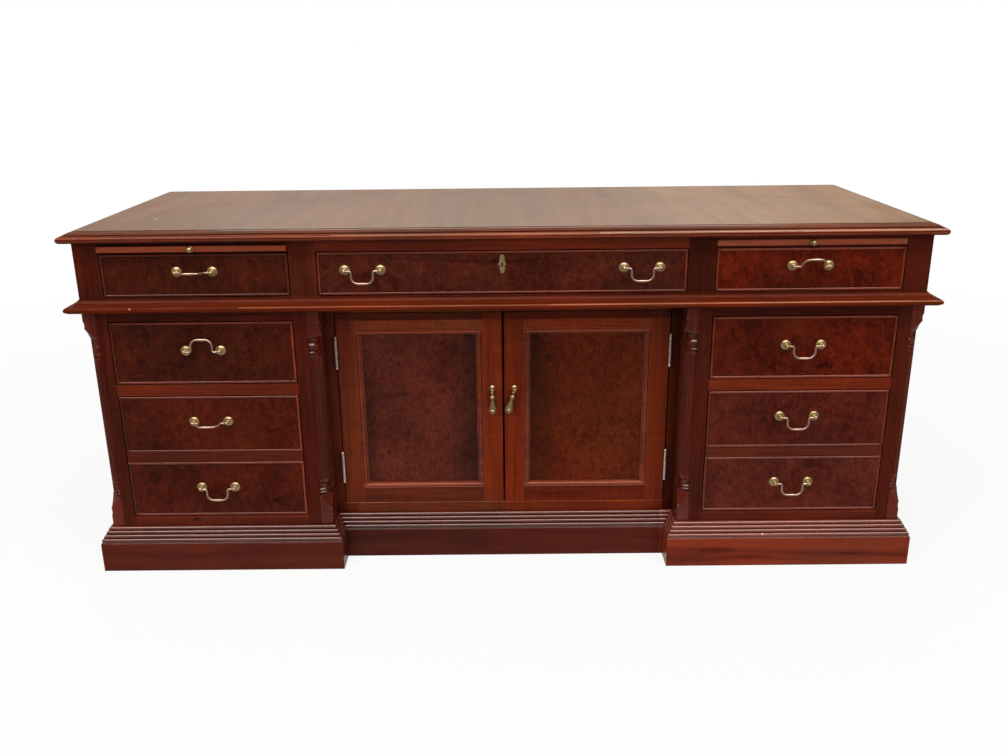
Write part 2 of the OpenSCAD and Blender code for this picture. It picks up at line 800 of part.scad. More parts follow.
module keyhole_cut(depth) {
    rotate([90, 0, 0]) translate([0, 0, -depth]) {
        cylinder(r = keyhole_r, h = 2 * depth);
        translate([-keyhole_r / 2, -3 * keyhole_r, 0]) cube([keyhole_r, 3 * keyhole_r, 2 * depth]);
    }
}

module centre_frieze_front() {
    color(burl) at_face() difference() {
        translate([0, 0, z_fdrawer + front_gap]) plain_front(centre_front_w, frieze_fh);
        translate([0, 0, keyhole_z]) keyhole_cut(front_t + 1);
    }
}

module centre_frieze_box() {
    color(inner_wood) at_face() translate([0, 0, z_fdrawer + front_gap])
        drawer_box(centre_front_w, frieze_box_h);
}

module centre_frieze_posts() {
    color(brass) at_face() both() translate([centre_pull_x, 0, frieze_pull_z]) posts();
}

module plate_outline() {
    scale_r = plate_w * 0.55;
    intersection() {
        translate([-plate_w, -plate_h]) square([2 * plate_w, 2 * plate_h]);
        union() {
            circle(r = plate_w * 0.8);
            for (s = [-1, 1]) {
                translate([0, s * plate_h * 0.42]) circle(r = plate_w * 0.7);
                translate([0, s * (plate_h - scale_r)]) circle(r = scale_r);
                translate([s * plate_w * 0.5, 0]) circle(r = plate_w * 0.5);
            }
        }
    }
}

module centre_lock() {
    color(brass) at_face() translate([0, 0, keyhole_z]) difference() {
        union() {
            rotate([90, 0, 0]) linear_extrude(plate_t) plate_outline();
            slab([-22, front_t, -16], [22, front_t + board_t - 6, 12]);
        }
        keyhole_cut(front_t + 2);
    }
}

// Runners

// x0 is the inner face of the case side, x1 the edge of the opening; z is the box's lower edge
module runner(x0, x1, z, t, y0, y1) {
    s = sign(x1 - x0);
    box_edge = x1 + s * (front_gap + box_in);
    lo = min(x0, box_edge + s * box_t);
    hi = max(x0, box_edge + s * box_t);
    board([lo, y0, z - run_gap - t], [hi, y1, z - run_gap]);
    board([min(x0, box_edge - s * guide_gap), y0, z - run_gap],
        [max(x0, box_edge - s * guide_gap), y1, z + guide_h]);
}

module drawer_runners() {
    y1 = back_y;
    lo = bay_x - drawer_w / 2;
    hi = bay_x + drawer_w / 2;
    f_z = z_fdrawer + front_gap + box_up;
    f_t = f_z - run_gap - z_frieze;
    lift = front_gap + box_up;
    color(inner_wood) at_face() both() {
        runner(half_w - case_t, hi, f_z, f_t, case_t, y1);
        runner(partition_x + board_t / 2, lo, f_z, f_t, case_t, y1);
        runner(partition_x - board_t / 2, half_centre, f_z, f_t, case_t, y1);
        for (z = [z_top_front, z_low]) {
            t = z == z_low ? min(runner_t, z_low + lift - run_gap - z_foot) : runner_t;
            runner(half_w - case_t, hi, z + lift, t, case_t, y1);
            runner(half_recess + case_t, lo, z + lift, t, case_t, y1);
        }
        // Strips under and over each writing slide
        for (x = [[lo, partition_x + board_t / 2, 1], [hi, half_w - case_t, -1]]) {
            a = min(x[1], x[0] + x[2] * slide_runner_w);
            b = max(x[1], x[0] + x[2] * slide_runner_w);
            board([a, case_t, z_slide - slide_runner_t], [b, y1, z_slide]);
            board([a, case_t, z_shead], [b, y1, z_top]);
        }
    }
}

// Writing slides

module writing_slide(s, out) {
    w = drawer_w / 2 - front_gap;
    color(mahogany) at_face() slab([s * bay_x - w, -out, z_slide + slide_gap],
        [s * bay_x + w, slide_l - out, z_shead - slide_gap]);
}

module slide_knob(s, out) {
    color(brass) at_face() translate([s * bay_x, -out, z_slide + slide_h / 2]) rotate([90, 0, 0])
        rotate_extrude() {
            square([min(slide_knob_r * 0.8, slide_h / 2 - slide_gap - 0.3), 2]);
            square([slide_knob_r * 0.42, slide_knob_l - slide_knob_r]);
            intersection() {
                translate([0, slide_knob_l - slide_knob_r * 0.8]) circle(r = slide_knob_r * 0.8);
                square([slide_knob_r, slide_knob_l]);
            }
        }
}

// Doors. The right door is drawn; the left one is its mirror image, but for its drop.

module door_mould_section() {
    // x runs inwards from the door's frame, y forwards from the panel
    w = door_mould_w;
    h = panel_back;
    square([w - 2, h - 2.5]);
    square([w, 2]);
    translate([1.6, h]) circle(r = 1.6);
    square([3.2, h]);
    translate([6.8, h - 0.8]) circle(r = 3.4);
    square([10.2, h - 0.8]);
}

module door_frame() {
    y0 = recess_d;
    y1 = recess_d + door_t;
    lo = meeting_gap / 2;
    hi = lo + door_w;
    top = door_z + door_h;
    in_lo = lo + door_meet_w;
    in_hi = hi - door_stile_w;
    board([lo, y0, door_z], [in_lo, y1, top], [1, 0, 0]);
    difference() {
        board([in_hi, y0, door_z], [hi, y1, top], [1, 0, 0]);
        // Pockets in the edge for the hinge leaves
        for (z = hinge_zs) slab([hi - leaf_pocket, y0 - 1, z - hinge_l / 2 - 0.2],
            [hi + 1, y0 + leaf_w + 0.5, z + hinge_l / 2 + 0.2]);
    }
    board([in_lo, y0, door_z], [in_hi, y1, door_z + door_rail_w]);
    board([in_lo, y0, top - door_rail_w], [in_hi, y1, top]);
    translate([mid(in_lo, in_hi), y0 + panel_back, door_z + door_rail_w + glue / 2])
        flat_frame(in_hi - in_lo - glue, door_h - 2 * door_rail_w - glue, door_mould_w,
            0, 2 * panel_back + 4) door_mould_section();
}

module door_panel() {
    lo = meeting_gap / 2 + door_meet_w;
    hi = meeting_gap / 2 + door_w - door_stile_w;
    slab([lo, recess_d + panel_back, door_z + door_rail_w],
        [hi, recess_d + door_t, door_z + door_h - door_rail_w]);
}

// Butt hinges with finials. The middle knuckle is the door's, the outer two are the frame's.

hinge_zs = [door_z + hinge_from_end, door_z + door_h - hinge_from_end];
knuckle_l = (hinge_l - 2 * knuckle_gap) / 3;
axis_y = recess_d + hinge_y;

module hinge_place(z) { translate([hinge_x, axis_y, z - hinge_l / 2]) children(); }

module frame_leaf() {
    difference() {
        union() {
            for (z = [0, 2 * (knuckle_l + knuckle_gap)]) translate([0, 0, z])
                cylinder(r = knuckle_r, h = knuckle_l);
            slab([door_gap / 2 - leaf_t, 0, 0], [door_gap / 2, leaf_w - hinge_y, hinge_l]);
        }
        translate([0, 0, knuckle_l])
            cylinder(r = knuckle_r + knuckle_gap, h = knuckle_l + 2 * knuckle_gap);
    }
    cylinder(r = hinge_pin_r, h = hinge_l);
    for (s = [0, 1]) translate([0, 0, s * hinge_l]) mirror([0, 0, 1 - s]) rotate_extrude() {
        square([knuckle_r * 0.55, finial_l * 0.5]);
        intersection() {
            translate([0, finial_l * 0.55]) circle(r = finial_l * 0.45);
            square([knuckle_r, finial_l]);
        }
    }
}

module door_leaf() {
    z0 = knuckle_l + knuckle_gap;
    difference() {
        union() {
            translate([0, 0, z0]) cylinder(r = knuckle_r, h = knuckle_l);
            difference() {
                slab([-door_gap / 2 - leaf_pocket, 0, 0],
                    [leaf_t - leaf_pocket - door_gap / 2, leaf_w - hinge_y, hinge_l]);
                for (z = [-1, z0 + knuckle_l]) translate([0, 0, z])
                    cylinder(r = knuckle_r + knuckle_gap, h = z0 + 1);
            }
        }
        translate([0, 0, z0 - 1]) cylinder(r = hinge_pin_r + pin_clear, h = knuckle_l + 2);
    }
}

module frame_hinge_leaves() {
    color(brass) at_face() both() for (z = hinge_zs) hinge_place(z) frame_leaf();
}

// Door pulls

pull_x = meeting_gap / 2 + door_pull_in;
ball_out = drop_out + drop_ring_w / 2 + stem_ball_r;

module door_button() {
    translate([pull_x, recess_d, door_pull_z]) {
        rose_dome(button_r, button_h);
        rotate([90, 0, 0]) cylinder(r = stem_r, h = ball_out);
        translate([0, -ball_out, 0]) sphere(r = stem_ball_r);
    }
}

module door_brass() {
    for (z = hinge_zs) hinge_place(z) door_leaf();
    door_button();
}

module left_door_brass() { color(brass) at_face() mirror([1, 0, 0]) door_brass(); }
module right_door_brass() { color(brass) at_face() door_brass(); }

// A drop that hangs from the Y axis: x is its radius, y runs up to the stem
module drop_section() {
    bulb = -drop_l + drop_r + 1.5;
    translate([0, -drop_ring_r - 5.1]) intersection() {
        circle(r = 3.4);
        translate([0, -4]) square([4, 8]);
    }
    intersection() {
        translate([0, bulb]) circle(r = drop_r);
        translate([0, -drop_l]) square([drop_r, drop_l]);
    }
    polygon([[0, 1.2 - drop_ring_r], [1.1, 1.2 - drop_ring_r], [1.8, -16],
        [drop_r * 0.94, bulb + drop_r * 0.33], [0, bulb]]);
    translate([0, -drop_l]) square([2.2, 3]);
}

module drop() {
    rotate_extrude() drop_section();
    difference() {
        translate([0, drop_ring_w / 2, 0]) rotate([90, 0, 0])
            cylinder(r = drop_ring_r, h = drop_ring_w);
        translate([0, drop_ring_w, 0]) rotate([90, 0, 0])
            cylinder(r = stem_r + pin_clear, h = 2 * drop_ring_w);
    }
}

module left_drop_pull() {
    color(brass) at_face() translate([-pull_x, recess_d - drop_out, door_pull_z]) drop();
}

module right_drop_pull() {
    color(brass) at_face() translate([pull_x, recess_d - drop_out, door_pull_z])
        rotate([0, right_drop_angle, 0]) drop();
}

top_board();
top_moulding();
frieze_case();
frieze_frame();
waist_moulding();
pedestal_cases();
pedestal_frames();
corner_columns();
cupboard_frame();
cupboard_shelf();
shelf_pins();
back_panels();
base_moulding();
plinth();
drawer_runners();
frame_hinge_leaves();
writing_slide(-1, slide_rest);  // left_writing_slide
slide_knob(-1, slide_rest);  // left_slide_knob
writing_slide(1, 0);  // right_writing_slide
slide_knob(1, 0);  // right_slide_knob
side_frieze_front(-1);  // left_frieze_front
side_frieze_box(-1);  // left_frieze_box
side_frieze_posts(-1);  // left_frieze_posts
hung_bail(-bay_x, 0, frieze_pull_z, left_frieze_angle);  // left_frieze_bail
centre_frieze_front();
centre_frieze_box();
centre_frieze_posts();
centre_lock();
hung_bail(-centre_pull_x, 0, frieze_pull_z, 0);  // centre_left_bail
hung_bail(centre_pull_x, 0, frieze_pull_z, 0);  // centre_right_bail
side_frieze_front(1);  // right_frieze_front
side_frieze_box(1);  // right_frieze_box
side_frieze_posts(1);  // right_frieze_posts
hung_bail(bay_x, 0, frieze_pull_z, right_frieze_angle);  // right_frieze_bail
side_drawer_front(-1);  // left_drawer_front
side_drawer_box(-1);  // left_drawer_box
side_drawer_posts(-1);  // left_drawer_posts
hung_bail(-bay_x, 0, top_pull_z, left_drawer_angle);  // left_drawer_bail
side_drawer_front(1);  // right_drawer_front
side_drawer_box(1);  // right_drawer_box
side_drawer_posts(1);  // right_drawer_posts
hung_bail(bay_x, 0, top_pull_z, 0);  // right_drawer_bail
side_file_front(-1);  // left_file_front
side_file_box(-1);  // left_file_box
side_file_posts(-1);  // left_file_posts
hung_bail(-bay_x, 0, mid_pull_z, left_file_angle);  // left_upper_file_bail
hung_bail(-bay_x, 0, low_pull_z, 0);  // left_lower_file_bail
side_file_front(1);  // right_file_front
side_file_box(1);  // right_file_box
side_file_posts(1);  // right_file_posts
hung_bail(bay_x, 0, mid_pull_z, 0);  // right_upper_file_bail
hung_bail(bay_x, 0, low_pull_z, 0);  // right_lower_file_bail
color(mahogany) at_face() mirror([1, 0, 0]) door_frame();  // left_door_frame
color(burl) at_face() mirror([1, 0, 0]) door_panel();  // left_door_panel
left_door_brass();
left_drop_pull();
color(mahogany) at_face() door_frame();  // right_door_frame
color(burl) at_face() door_panel();  // right_door_panel
right_door_brass();
right_drop_pull();
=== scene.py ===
"""Looks of the mahogany breakfront credenza: camera, studio, finishes and the finer brass and wood pieces.

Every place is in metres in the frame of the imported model.
"""

import logging
import math
from collections.abc import Callable, Iterable, Iterator, Sequence
from contextlib import contextmanager
from dataclasses import dataclass
from enum import Enum
from typing import Any

import bmesh
import bpy
from mathutils import Matrix, Vector


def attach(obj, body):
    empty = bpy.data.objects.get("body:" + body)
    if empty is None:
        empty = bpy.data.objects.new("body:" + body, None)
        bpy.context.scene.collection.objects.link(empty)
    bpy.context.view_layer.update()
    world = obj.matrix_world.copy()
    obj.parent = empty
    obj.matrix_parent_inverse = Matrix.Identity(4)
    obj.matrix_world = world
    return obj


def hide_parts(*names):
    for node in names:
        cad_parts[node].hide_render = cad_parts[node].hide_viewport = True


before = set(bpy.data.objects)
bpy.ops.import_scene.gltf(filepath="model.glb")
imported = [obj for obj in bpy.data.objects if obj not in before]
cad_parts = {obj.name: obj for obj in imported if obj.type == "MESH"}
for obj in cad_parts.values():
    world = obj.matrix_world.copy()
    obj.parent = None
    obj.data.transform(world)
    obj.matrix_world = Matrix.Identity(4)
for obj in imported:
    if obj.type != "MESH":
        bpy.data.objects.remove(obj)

log = logging.getLogger("credenza")

Colour = tuple[float, float, float]
Place = tuple[float, float, float]
Outline = Sequence[tuple[float, float]]
Span = tuple[float, float]
Socket = bpy.types.NodeSocket
Piece = bpy.types.Object

# lengths are in metres, and MM turns the millimetres of the pieces' own sizes into them
MM = 0.001
FACE_Y = -0.272683
RECESS = 0.057
BAY_X = 642.5
SLIDE_OUT = 8.0
QUARTER, SMOOTH = math.radians(90), math.radians(32)
SIDES = (("left", -1), ("right", 1))
ORIGIN = (0.0, 0.0, 0.0)
WHITE = (1.0, 1.0, 1.0)
WHOLE = (-2.0, 2.0)
# how near to a point a turned tip ends, how straight a face looks along an axis, and how near two corners are one
POINT_R, FACING, TOUCH = 0.002, 0.9, 1e-6
FLIP = Matrix.Scale(-1, 4, (1, 0, 0))


# ---------------------------------------------------------------- shader trees


class Sheet:
    """Puts nodes in one shader tree and links them."""

    def __init__(self, tree: bpy.types.NodeTree) -> None:
        """Keeps the tree that the nodes go into."""
        self.tree = tree

    def put(self, kind: str, given: dict[str | int, Any] | None = None, **settings: Any) -> bpy.types.Node:
        """Adds one shader node.

        Args:
            kind: the node's type without its ShaderNode prefix.
            given: input name or number to a value or to the socket that feeds it.
            settings: properties of the node, such as operation.

        Returns:
            The new node.
        """
        node = self.tree.nodes.new("ShaderNode" + kind)
        for key, value in settings.items():
            setattr(node, key, value)
        for key, value in (given or {}).items():
            socket = node.inputs[key]
            if isinstance(value, bpy.types.NodeSocket):
                self.tree.links.new(value, socket)
            elif socket.type == "RGBA" and len(value) == 3:
                socket.default_value = (*value, 1.0)
            else:
                socket.default_value = value
        return node

    def sum(self, operation: str, *values: Any, clamp: bool = False) -> Socket:
        """The result of one Math node, kept between 0 and 1 if clamp is set."""
        return self.put("Math", dict(enumerate(values)), operation=operation, use_clamp=clamp).outputs[0]

    def times(self, first: Any, second: Any, clamp: bool = False) -> Socket:
        """Two values multiplied."""
        return self.sum("MULTIPLY", first, second, clamp=clamp)

    def plus(self, first: Any, second: Any, clamp: bool = False) -> Socket:
        """Two values added."""
        return self.sum("ADD", first, second, clamp=clamp)

    def minus(self, first: Any, second: Any) -> Socket:
        """The second value taken from the first."""
        return self.sum("SUBTRACT", first, second)

    def vector(self, operation: str, given: dict[int, Any]) -> Socket:
        """The result of one Vector Math node."""
        return self.put("VectorMath", given, operation=operation).outputs[0]

    def size(self, value: Any) -> Socket:
        """A value without its sign."""
        return self.sum("ABSOLUTE", value)

    def far(self, place: Any) -> Socket:
        """The length of a vector."""
        return self.put("VectorMath", {0: place}, operation="LENGTH").outputs["Value"]

    def mix(self, share: Any, under: Any, over: Any, blend: str = "MIX") -> Socket:
        """Two colours blended: share is how much of the upper one shows."""
        return self.put("Mix", {0: share, 6: under, 7: over}, data_type="RGBA", blend_type=blend).outputs[2]

    def spread(self, value: Any, low: float, high: float, to_low: float = 0.0, to_high: float = 1.0) -> Socket:
        """A value mapped from the range low to high to another range, and kept in it."""
        return self.put("MapRange", {0: value, 1: low, 2: high, 3: to_low, 4: to_high}).outputs[0]

    def noise(self, place: Any, scale: float | Place, detail: float = 3.0, twist: float = 0.0,
              rough: float = 0.5) -> Socket:
        """A noise value.

        Args:
            place: the vector that it reads.
            scale: spots per unit of that vector, or on each of its axes.
            detail: how many finer layers it has.
            twist: how far it is distorted.
            rough: how strong the finer layers are.

        Returns:
            A value round 0.5.
        """
        if isinstance(scale, tuple):
            place, scale = self.stretch(place, scale), 1.0
        given = {"Vector": place, "Scale": scale, "Detail": detail, "Distortion": twist, "Roughness": rough}
        return self.put("TexNoise", given).outputs[0]

    def stretch(self, place: Any, scale: Place, shift: Place = ORIGIN) -> Socket:
        """A place scaled on each axis and then shifted."""
        return self.put("Mapping", {"Vector": place, "Location": shift, "Scale": scale}).outputs[0]

    def parts(self, place: Any) -> list[Socket]:
        """The x, y and z of a vector."""
        return list(self.put("SeparateXYZ", {0: place}).outputs)

    def whole(self, x: Any, y: Any, z: Any) -> Socket:
        """A vector from its x, y and z."""
        return self.put("CombineXYZ", {0: x, 1: y, 2: z}).outputs[0]

    def within(self, value: Any, low: float, high: float) -> Socket:
        """1 where a value lies between two bounds, else 0."""
        half = (high - low) / 2
        return self.sum("COMPARE", value, low + half, half)

    def any_of(self, masks: Sequence[Socket]) -> Socket:
        """The highest of several masks."""
        found = masks[0]
        for mask in masks[1:]:
            found = self.sum("MAXIMUM", found, mask)
        return found

    def all_of(self, masks: Sequence[Socket]) -> Socket:
        """The lowest of several masks."""
        found = masks[0]
        for mask in masks[1:]:
            found = self.sum("MINIMUM", found, mask)
        return found

    def band(self, value: Any, start: float, full: float, still: float, end: float) -> Socket:
        """1 from full to still, and fading to 0 at start and at end."""
        return self.all_of([self.spread(value, start, full), self.spread(value, still, end, 1.0, 0.0)])


class Effect:
    """A shader effect kept as one node group, and placed in each material with its own values."""

    name = "effect"
    takes: dict[str, Any] = {}
    gives: tuple[str, ...] = ()

    def build(self, sheet: Sheet, given: dict[str, Socket]) -> dict[str, Socket]:
        """Lays the nodes of the group between its inputs and its outputs, both by name."""
        raise NotImplementedError

    def tree(self) -> bpy.types.NodeTree:
        """The node group, made the first time that it is asked for."""
        old = bpy.data.node_groups.get(self.name)
        if old:
            return old
        tree = bpy.data.node_groups.new(self.name, "ShaderNodeTree")
        for name, value in self.takes.items():
            kind = "NodeSocketFloat" if isinstance(value, float) else "NodeSocketVector"
            tree.interface.new_socket(name=name, in_out="INPUT", socket_type=kind).default_value = value
        for name in self.gives:
            kind = "NodeSocketVector" if name == "Normal" else "NodeSocketFloat"
            tree.interface.new_socket(name=name, in_out="OUTPUT", socket_type=kind)
        start, end = tree.nodes.new("NodeGroupInput"), tree.nodes.new("NodeGroupOutput")
        made = self.build(Sheet(tree), {name: start.outputs[name] for name in self.takes})
        for name, socket in made.items():
            tree.links.new(socket, end.inputs[name])
        return tree

    def lay(self, sheet: Sheet, **given: Any) -> dict[str, Socket]:
        """Places the group in a material with values or sockets for its inputs, and gives its outputs."""
        node = sheet.put("Group", given, node_tree=self.tree())
        return {name: node.outputs[name] for name in self.gives}


class StraightGrain(Effect):
    """Ribbon, ripple and pores of straight mahogany. Place runs along the board on its x."""

    name = "straight_grain"
    takes = {"Place": ORIGIN, "Ripple": 0.2, "Ribbon": 0.5}
    gives = ("Tone", "Pores", "Height")

    def build(self, sheet: Sheet, given: dict[str, Socket]) -> dict[str, Socket]:
        """Lays the nodes of the grain."""
        place = given["Place"]
        wander = sheet.noise(place, (1.6, 5.0, 5.0), 2.0)
        x, y, z = sheet.parts(place)
        bend = sheet.times(wander, 0.05)
        bent = sheet.whole(x, sheet.plus(y, bend), sheet.plus(z, bend))
        broad = sheet.noise(bent, (1.2, 26.0, 26.0), 3.0, 0.6)
        fine = sheet.noise(bent, (6.0, 230.0, 230.0), 3.0, 0.2, 0.6)
        ripple = sheet.noise(place, (95.0, 11.0, 11.0), 2.0, 0.8)
        pores = sheet.noise(bent, (150.0, 2300.0, 2300.0), 1.0)
        pores = sheet.spread(pores, 0.6, 0.7)
        tone = sheet.plus(sheet.times(broad, given["Ribbon"]), sheet.times(fine, sheet.minus(1.0, given["Ribbon"])))
        lift = sheet.times(sheet.minus(ripple, 0.5), given["Ripple"])
        tone = sheet.plus(sheet.spread(tone, 0.3, 0.7), lift, clamp=True)
        height = sheet.minus(sheet.times(fine, 0.3), sheet.times(pores, 0.6))
        return {"Tone": tone, "Pores": pores, "Height": height}


class BurlFigure(Effect):
    """Clouds, short upright flecks and small dark eyes of burl veneer."""

    name = "burl_figure"
    takes = {"Place": ORIGIN, "Eyes": 0.3, "Flecks": 0.3}
    gives = ("Tone", "Dots", "Height")

    def build(self, sheet: Sheet, given: dict[str, Socket]) -> dict[str, Socket]:
        """Lays the nodes of the burl."""
        place = given["Place"]
        drift = sheet.put("TexNoise", {"Vector": place, "Scale": 16.0, "Detail": 3.0}).outputs[1]
        drift = sheet.vector("SCALE", {0: sheet.vector("SUBTRACT", {0: drift, 1: (0.5, 0.5, 0.5)}), 3: 0.03})
        swirl = sheet.vector("ADD", {0: place, 1: drift})
        cloud = sheet.noise(place, 7.5, 3.0, 0.6)
        blotch = sheet.noise(swirl, (62.0, 62.0, 48.0), 4.0, 0.8, 0.6)
        mottle = sheet.noise(swirl, (230.0, 230.0, 110.0), 3.0, 0.5, 0.6)
        upright = sheet.noise(sheet.stretch(swirl, (290.0, 290.0, 95.0), (3.0, 1.0, 7.0)), 1.0, 2.0, 0.4)
        flecks = sheet.times(sheet.spread(upright, 0.53, 0.68), given["Flecks"])
        cells = sheet.put("TexVoronoi", {"Vector": swirl, "Scale": 150.0, "Randomness": 1.0}).outputs[0]
        eyes = sheet.spread(cells, 0.08, 0.36, 1.0, 0.0)
        thick = sheet.spread(sheet.noise(place, 21.0, 2.0), 0.46, 0.64)
        eyes = sheet.times(sheet.times(eyes, thick), given["Eyes"])
        dots = sheet.sum("MAXIMUM", eyes, flecks, clamp=True)
        tone = sheet.plus(sheet.times(blotch, 0.42), sheet.times(mottle, 0.3))
        tone = sheet.spread(sheet.plus(tone, sheet.times(cloud, 0.28)), 0.38, 0.62)
        height = sheet.minus(sheet.times(mottle, 0.2), sheet.times(dots, 0.3))
        return {"Tone": tone, "Dots": dots, "Height": height}


class EdgeWearAndShade(Effect):
    """Rubbed edges, painted shade in the corners from ambient occlusion, and a softened normal."""

    name = "edge_wear"
    takes = {"Place": ORIGIN, "Rubbed": 0.6, "Reach": 0.01}
    gives = ("Edge", "Corner", "Normal")

    def build(self, sheet: Sheet, given: dict[str, Socket]) -> dict[str, Socket]:
        """Lays the nodes of the wear."""
        soft = sheet.put("Bevel", {"Radius": 0.0009}, samples=4).outputs[0]
        flat = sheet.put("NewGeometry").outputs["Normal"]
        turn = sheet.put("VectorMath", {0: soft, 1: flat}, operation="DOT_PRODUCT").outputs["Value"]
        edge = sheet.spread(turn, 0.98, 0.8)
        patch = sheet.spread(sheet.noise(given["Place"], 45.0, 4.0, 0.4, 0.65), 0.42, 0.62)
        edge = sheet.times(sheet.times(edge, patch), given["Rubbed"], clamp=True)
        # Ambient occlusion gives the mask of painted shade in corners and gaps.
        shade = sheet.put("AmbientOcclusion", {"Distance": given["Reach"]}, samples=4).outputs["AO"]
        corner = sheet.spread(shade, 0.75, 0.25)
        return {"Edge": edge, "Corner": corner, "Normal": soft}


class Scuffs(Effect):
    """Fine scratches and cloudy polish."""

    name = "scuffs"
    takes = {"Place": ORIGIN}
    gives = ("Scratch", "Cloud")

    def build(self, sheet: Sheet, given: dict[str, Socket]) -> dict[str, Socket]:
        """Lays the nodes of the scratches."""
        place = given["Place"]
        lines = []
        for turn, scale in ((0.5, (7.0, 900.0, 900.0)), (-0.35, (5.0, 700.0, 700.0))):
            turned = sheet.put("Mapping", {"Vector": place, "Rotation": (0.0, turn, turn)}).outputs[0]
            line = sheet.noise(sheet.stretch(turned, scale), 1.0, 2.0)
            lines.append(sheet.spread(line, 0.71, 0.8))
        sparse = sheet.spread(sheet.noise(place, 9.0, 2.0), 0.5, 0.62)
        scratch = sheet.times(sheet.any_of(lines), sparse)
        return {"Scratch": scratch, "Cloud": sheet.noise(place, 6.0, 4.0, 0.5)}


class Tarnish(Effect):
    """Dull brown patches on lacquered brass, heavier in the corners."""

    name = "tarnish"
    takes = {"Place": ORIGIN, "Amount": 0.5}
    gives = ("Patch", "Grain", "Scratch")

    def build(self, sheet: Sheet, given: dict[str, Socket]) -> dict[str, Socket]:
        """Lays the nodes of the tarnish."""
        place = given["Place"]
        cloud = sheet.noise(place, 160.0, 5.0, 0.8, 0.6)
        shade = sheet.put("AmbientOcclusion", {"Distance": 0.004}, samples=4).outputs["AO"]
        corner = sheet.spread(shade, 0.8, 0.3)
        patch = sheet.plus(sheet.spread(cloud, 0.5, 0.75, 0.0, 0.7), corner)
        patch = sheet.times(patch, given["Amount"], clamp=True)
        grain = sheet.noise(place, 1900.0, 2.0)
        fine = sheet.noise(place, (400.0, 3000.0, 3000.0), 1.0)
        return {"Patch": patch, "Grain": grain, "Scratch": sheet.spread(fine, 0.62, 0.72)}


GRAIN, BURL, WEAR_AND_SHADE, SCUFFS, TARNISH = StraightGrain(), BurlFigure(), EdgeWearAndShade(), Scuffs(), Tarnish()


# ---------------------------------------------------------------- how boards lie


class Axis(Enum):
    """The way a board's grain runs."""

    X = "x"
    Y = "y"
    Z = "z"

    def along(self, sheet: Sheet, place: Socket) -> Socket:
        """The place turned so that the grain runs on its x.

        Args:
            sheet: the material's tree.
            place: the object's own coordinates.

        Returns:
            The turned place.
        """
        x, y, z = sheet.parts(place)
        if self is Axis.X:
            return place
        if self is Axis.Y:
            return sheet.whole(y, x, z)
        return sheet.whole(z, y, x)


class Mask:
    """A part of space that a tint or another way of the grain is laid in."""

    def mask(self, sheet: Sheet, place: Socket) -> Socket:
        """1 inside the part of space, 0 outside it."""
        raise NotImplementedError


@dataclass(frozen=True)
class Zone(Mask):
    """A box of space, given for the right side and taken on both unless mirrored is False."""

    x: Span = WHOLE
    y: Span = WHOLE
    z: Span = WHOLE
    mirrored: bool = True

    def mask(self, sheet: Sheet, place: Socket) -> Socket:
        """1 inside the box, else 0.

        Args:
            sheet: the material's tree.
            place: the object's own coordinates.

        Returns:
            The mask.
        """
        x, y, z = sheet.parts(place)
        spans = ((sheet.size(x) if self.mirrored else x, self.x), (y, self.y), (z, self.z))
        return sheet.all_of([sheet.within(value, *span) for value, span in spans if span != WHOLE])


@dataclass(frozen=True)
class Mitre(Mask):
    """The returns of a moulding, beyond the 45 degree cut at a corner."""

    x: float
    y: float

    def mask(self, sheet: Sheet, place: Socket) -> Socket:
        """1 on the side lengths, 0 on the front length.

        Args:
            sheet: the material's tree.
            place: the object's own coordinates.

        Returns:
            The mask.
        """
        x, y, _ = sheet.parts(place)
        out = sheet.minus(sheet.size(x), self.x)
        fore = sheet.minus(self.y, y)
        return sheet.sum("GREATER_THAN", out, fore)


@dataclass(frozen=True)
class Fade(Mask):
    """A band of x that comes in and goes out softly: where it starts, is full, is full still and ends."""

    start: float
    full: float
    still: float
    end: float

    def mask(self, sheet: Sheet, place: Socket) -> Socket:
        """1 in the band, 0 outside it."""
        return sheet.band(sheet.parts(place)[0], self.start, self.full, self.still, self.end)


@dataclass(frozen=True)
class Spot(Mask):
    """A small ragged mark round a place, stretched along x."""

    place: Place
    radius: float
    long: float = 1.0

    def mask(self, sheet: Sheet, place: Socket) -> Socket:
        """1 in the mark, 0 outside it.

        Args:
            sheet: the material's tree.
            place: the object's own coordinates.

        Returns:
            The mask.
        """
        away = sheet.stretch(sheet.vector("SUBTRACT", {0: place, 1: self.place}), (1.0 / self.long, 1.0, 1.0))
        ragged = sheet.times(sheet.noise(place, 1.5 / self.radius, 3.0), self.radius * 1.2)
        return sheet.spread(sheet.plus(sheet.far(away), ragged), self.radius * 1.2, self.radius * 1.6, 1.0, 0.0)


@dataclass(frozen=True)
class Lay:
    """How the boards of a piece lie: one way, and another way in some zones."""

    first: Axis = Axis.X
    second: Axis = Axis.Z
    where: tuple[Mask, ...] = ()

    def turned(self, sheet: Sheet, place: Socket) -> Socket:
        """The place turned so that the grain runs on its x everywhere.

        Args:
            sheet: the material's tree.
            place: the object's own coordinates.

        Returns:
            The turned place.
        """
        first = self.first.along(sheet, place)
        if not self.where:
            return first
        mask = sheet.any_of([zone.mask(sheet, place) for zone in self.where])
        second = self.second.along(sheet, place)
        return sheet.put("Mix", {0: mask, 4: first, 5: second}, data_type="VECTOR").outputs[1]


# ---------------------------------------------------------------- finishes


@dataclass(frozen=True)
class Shine:
    """The constants of a surface's gloss."""

    rough: float = 0.32
    level: float = 0.12
    coat: float = 0.0
    coat_rough: float = 0.2
    bump: float = 0.12
    metal: float = 0.0


@dataclass(frozen=True)
class Skin:
    """The sockets of a surface that change over it."""

    colour: Socket
    rough: Socket
    height: Socket
    normal: Socket | None = None


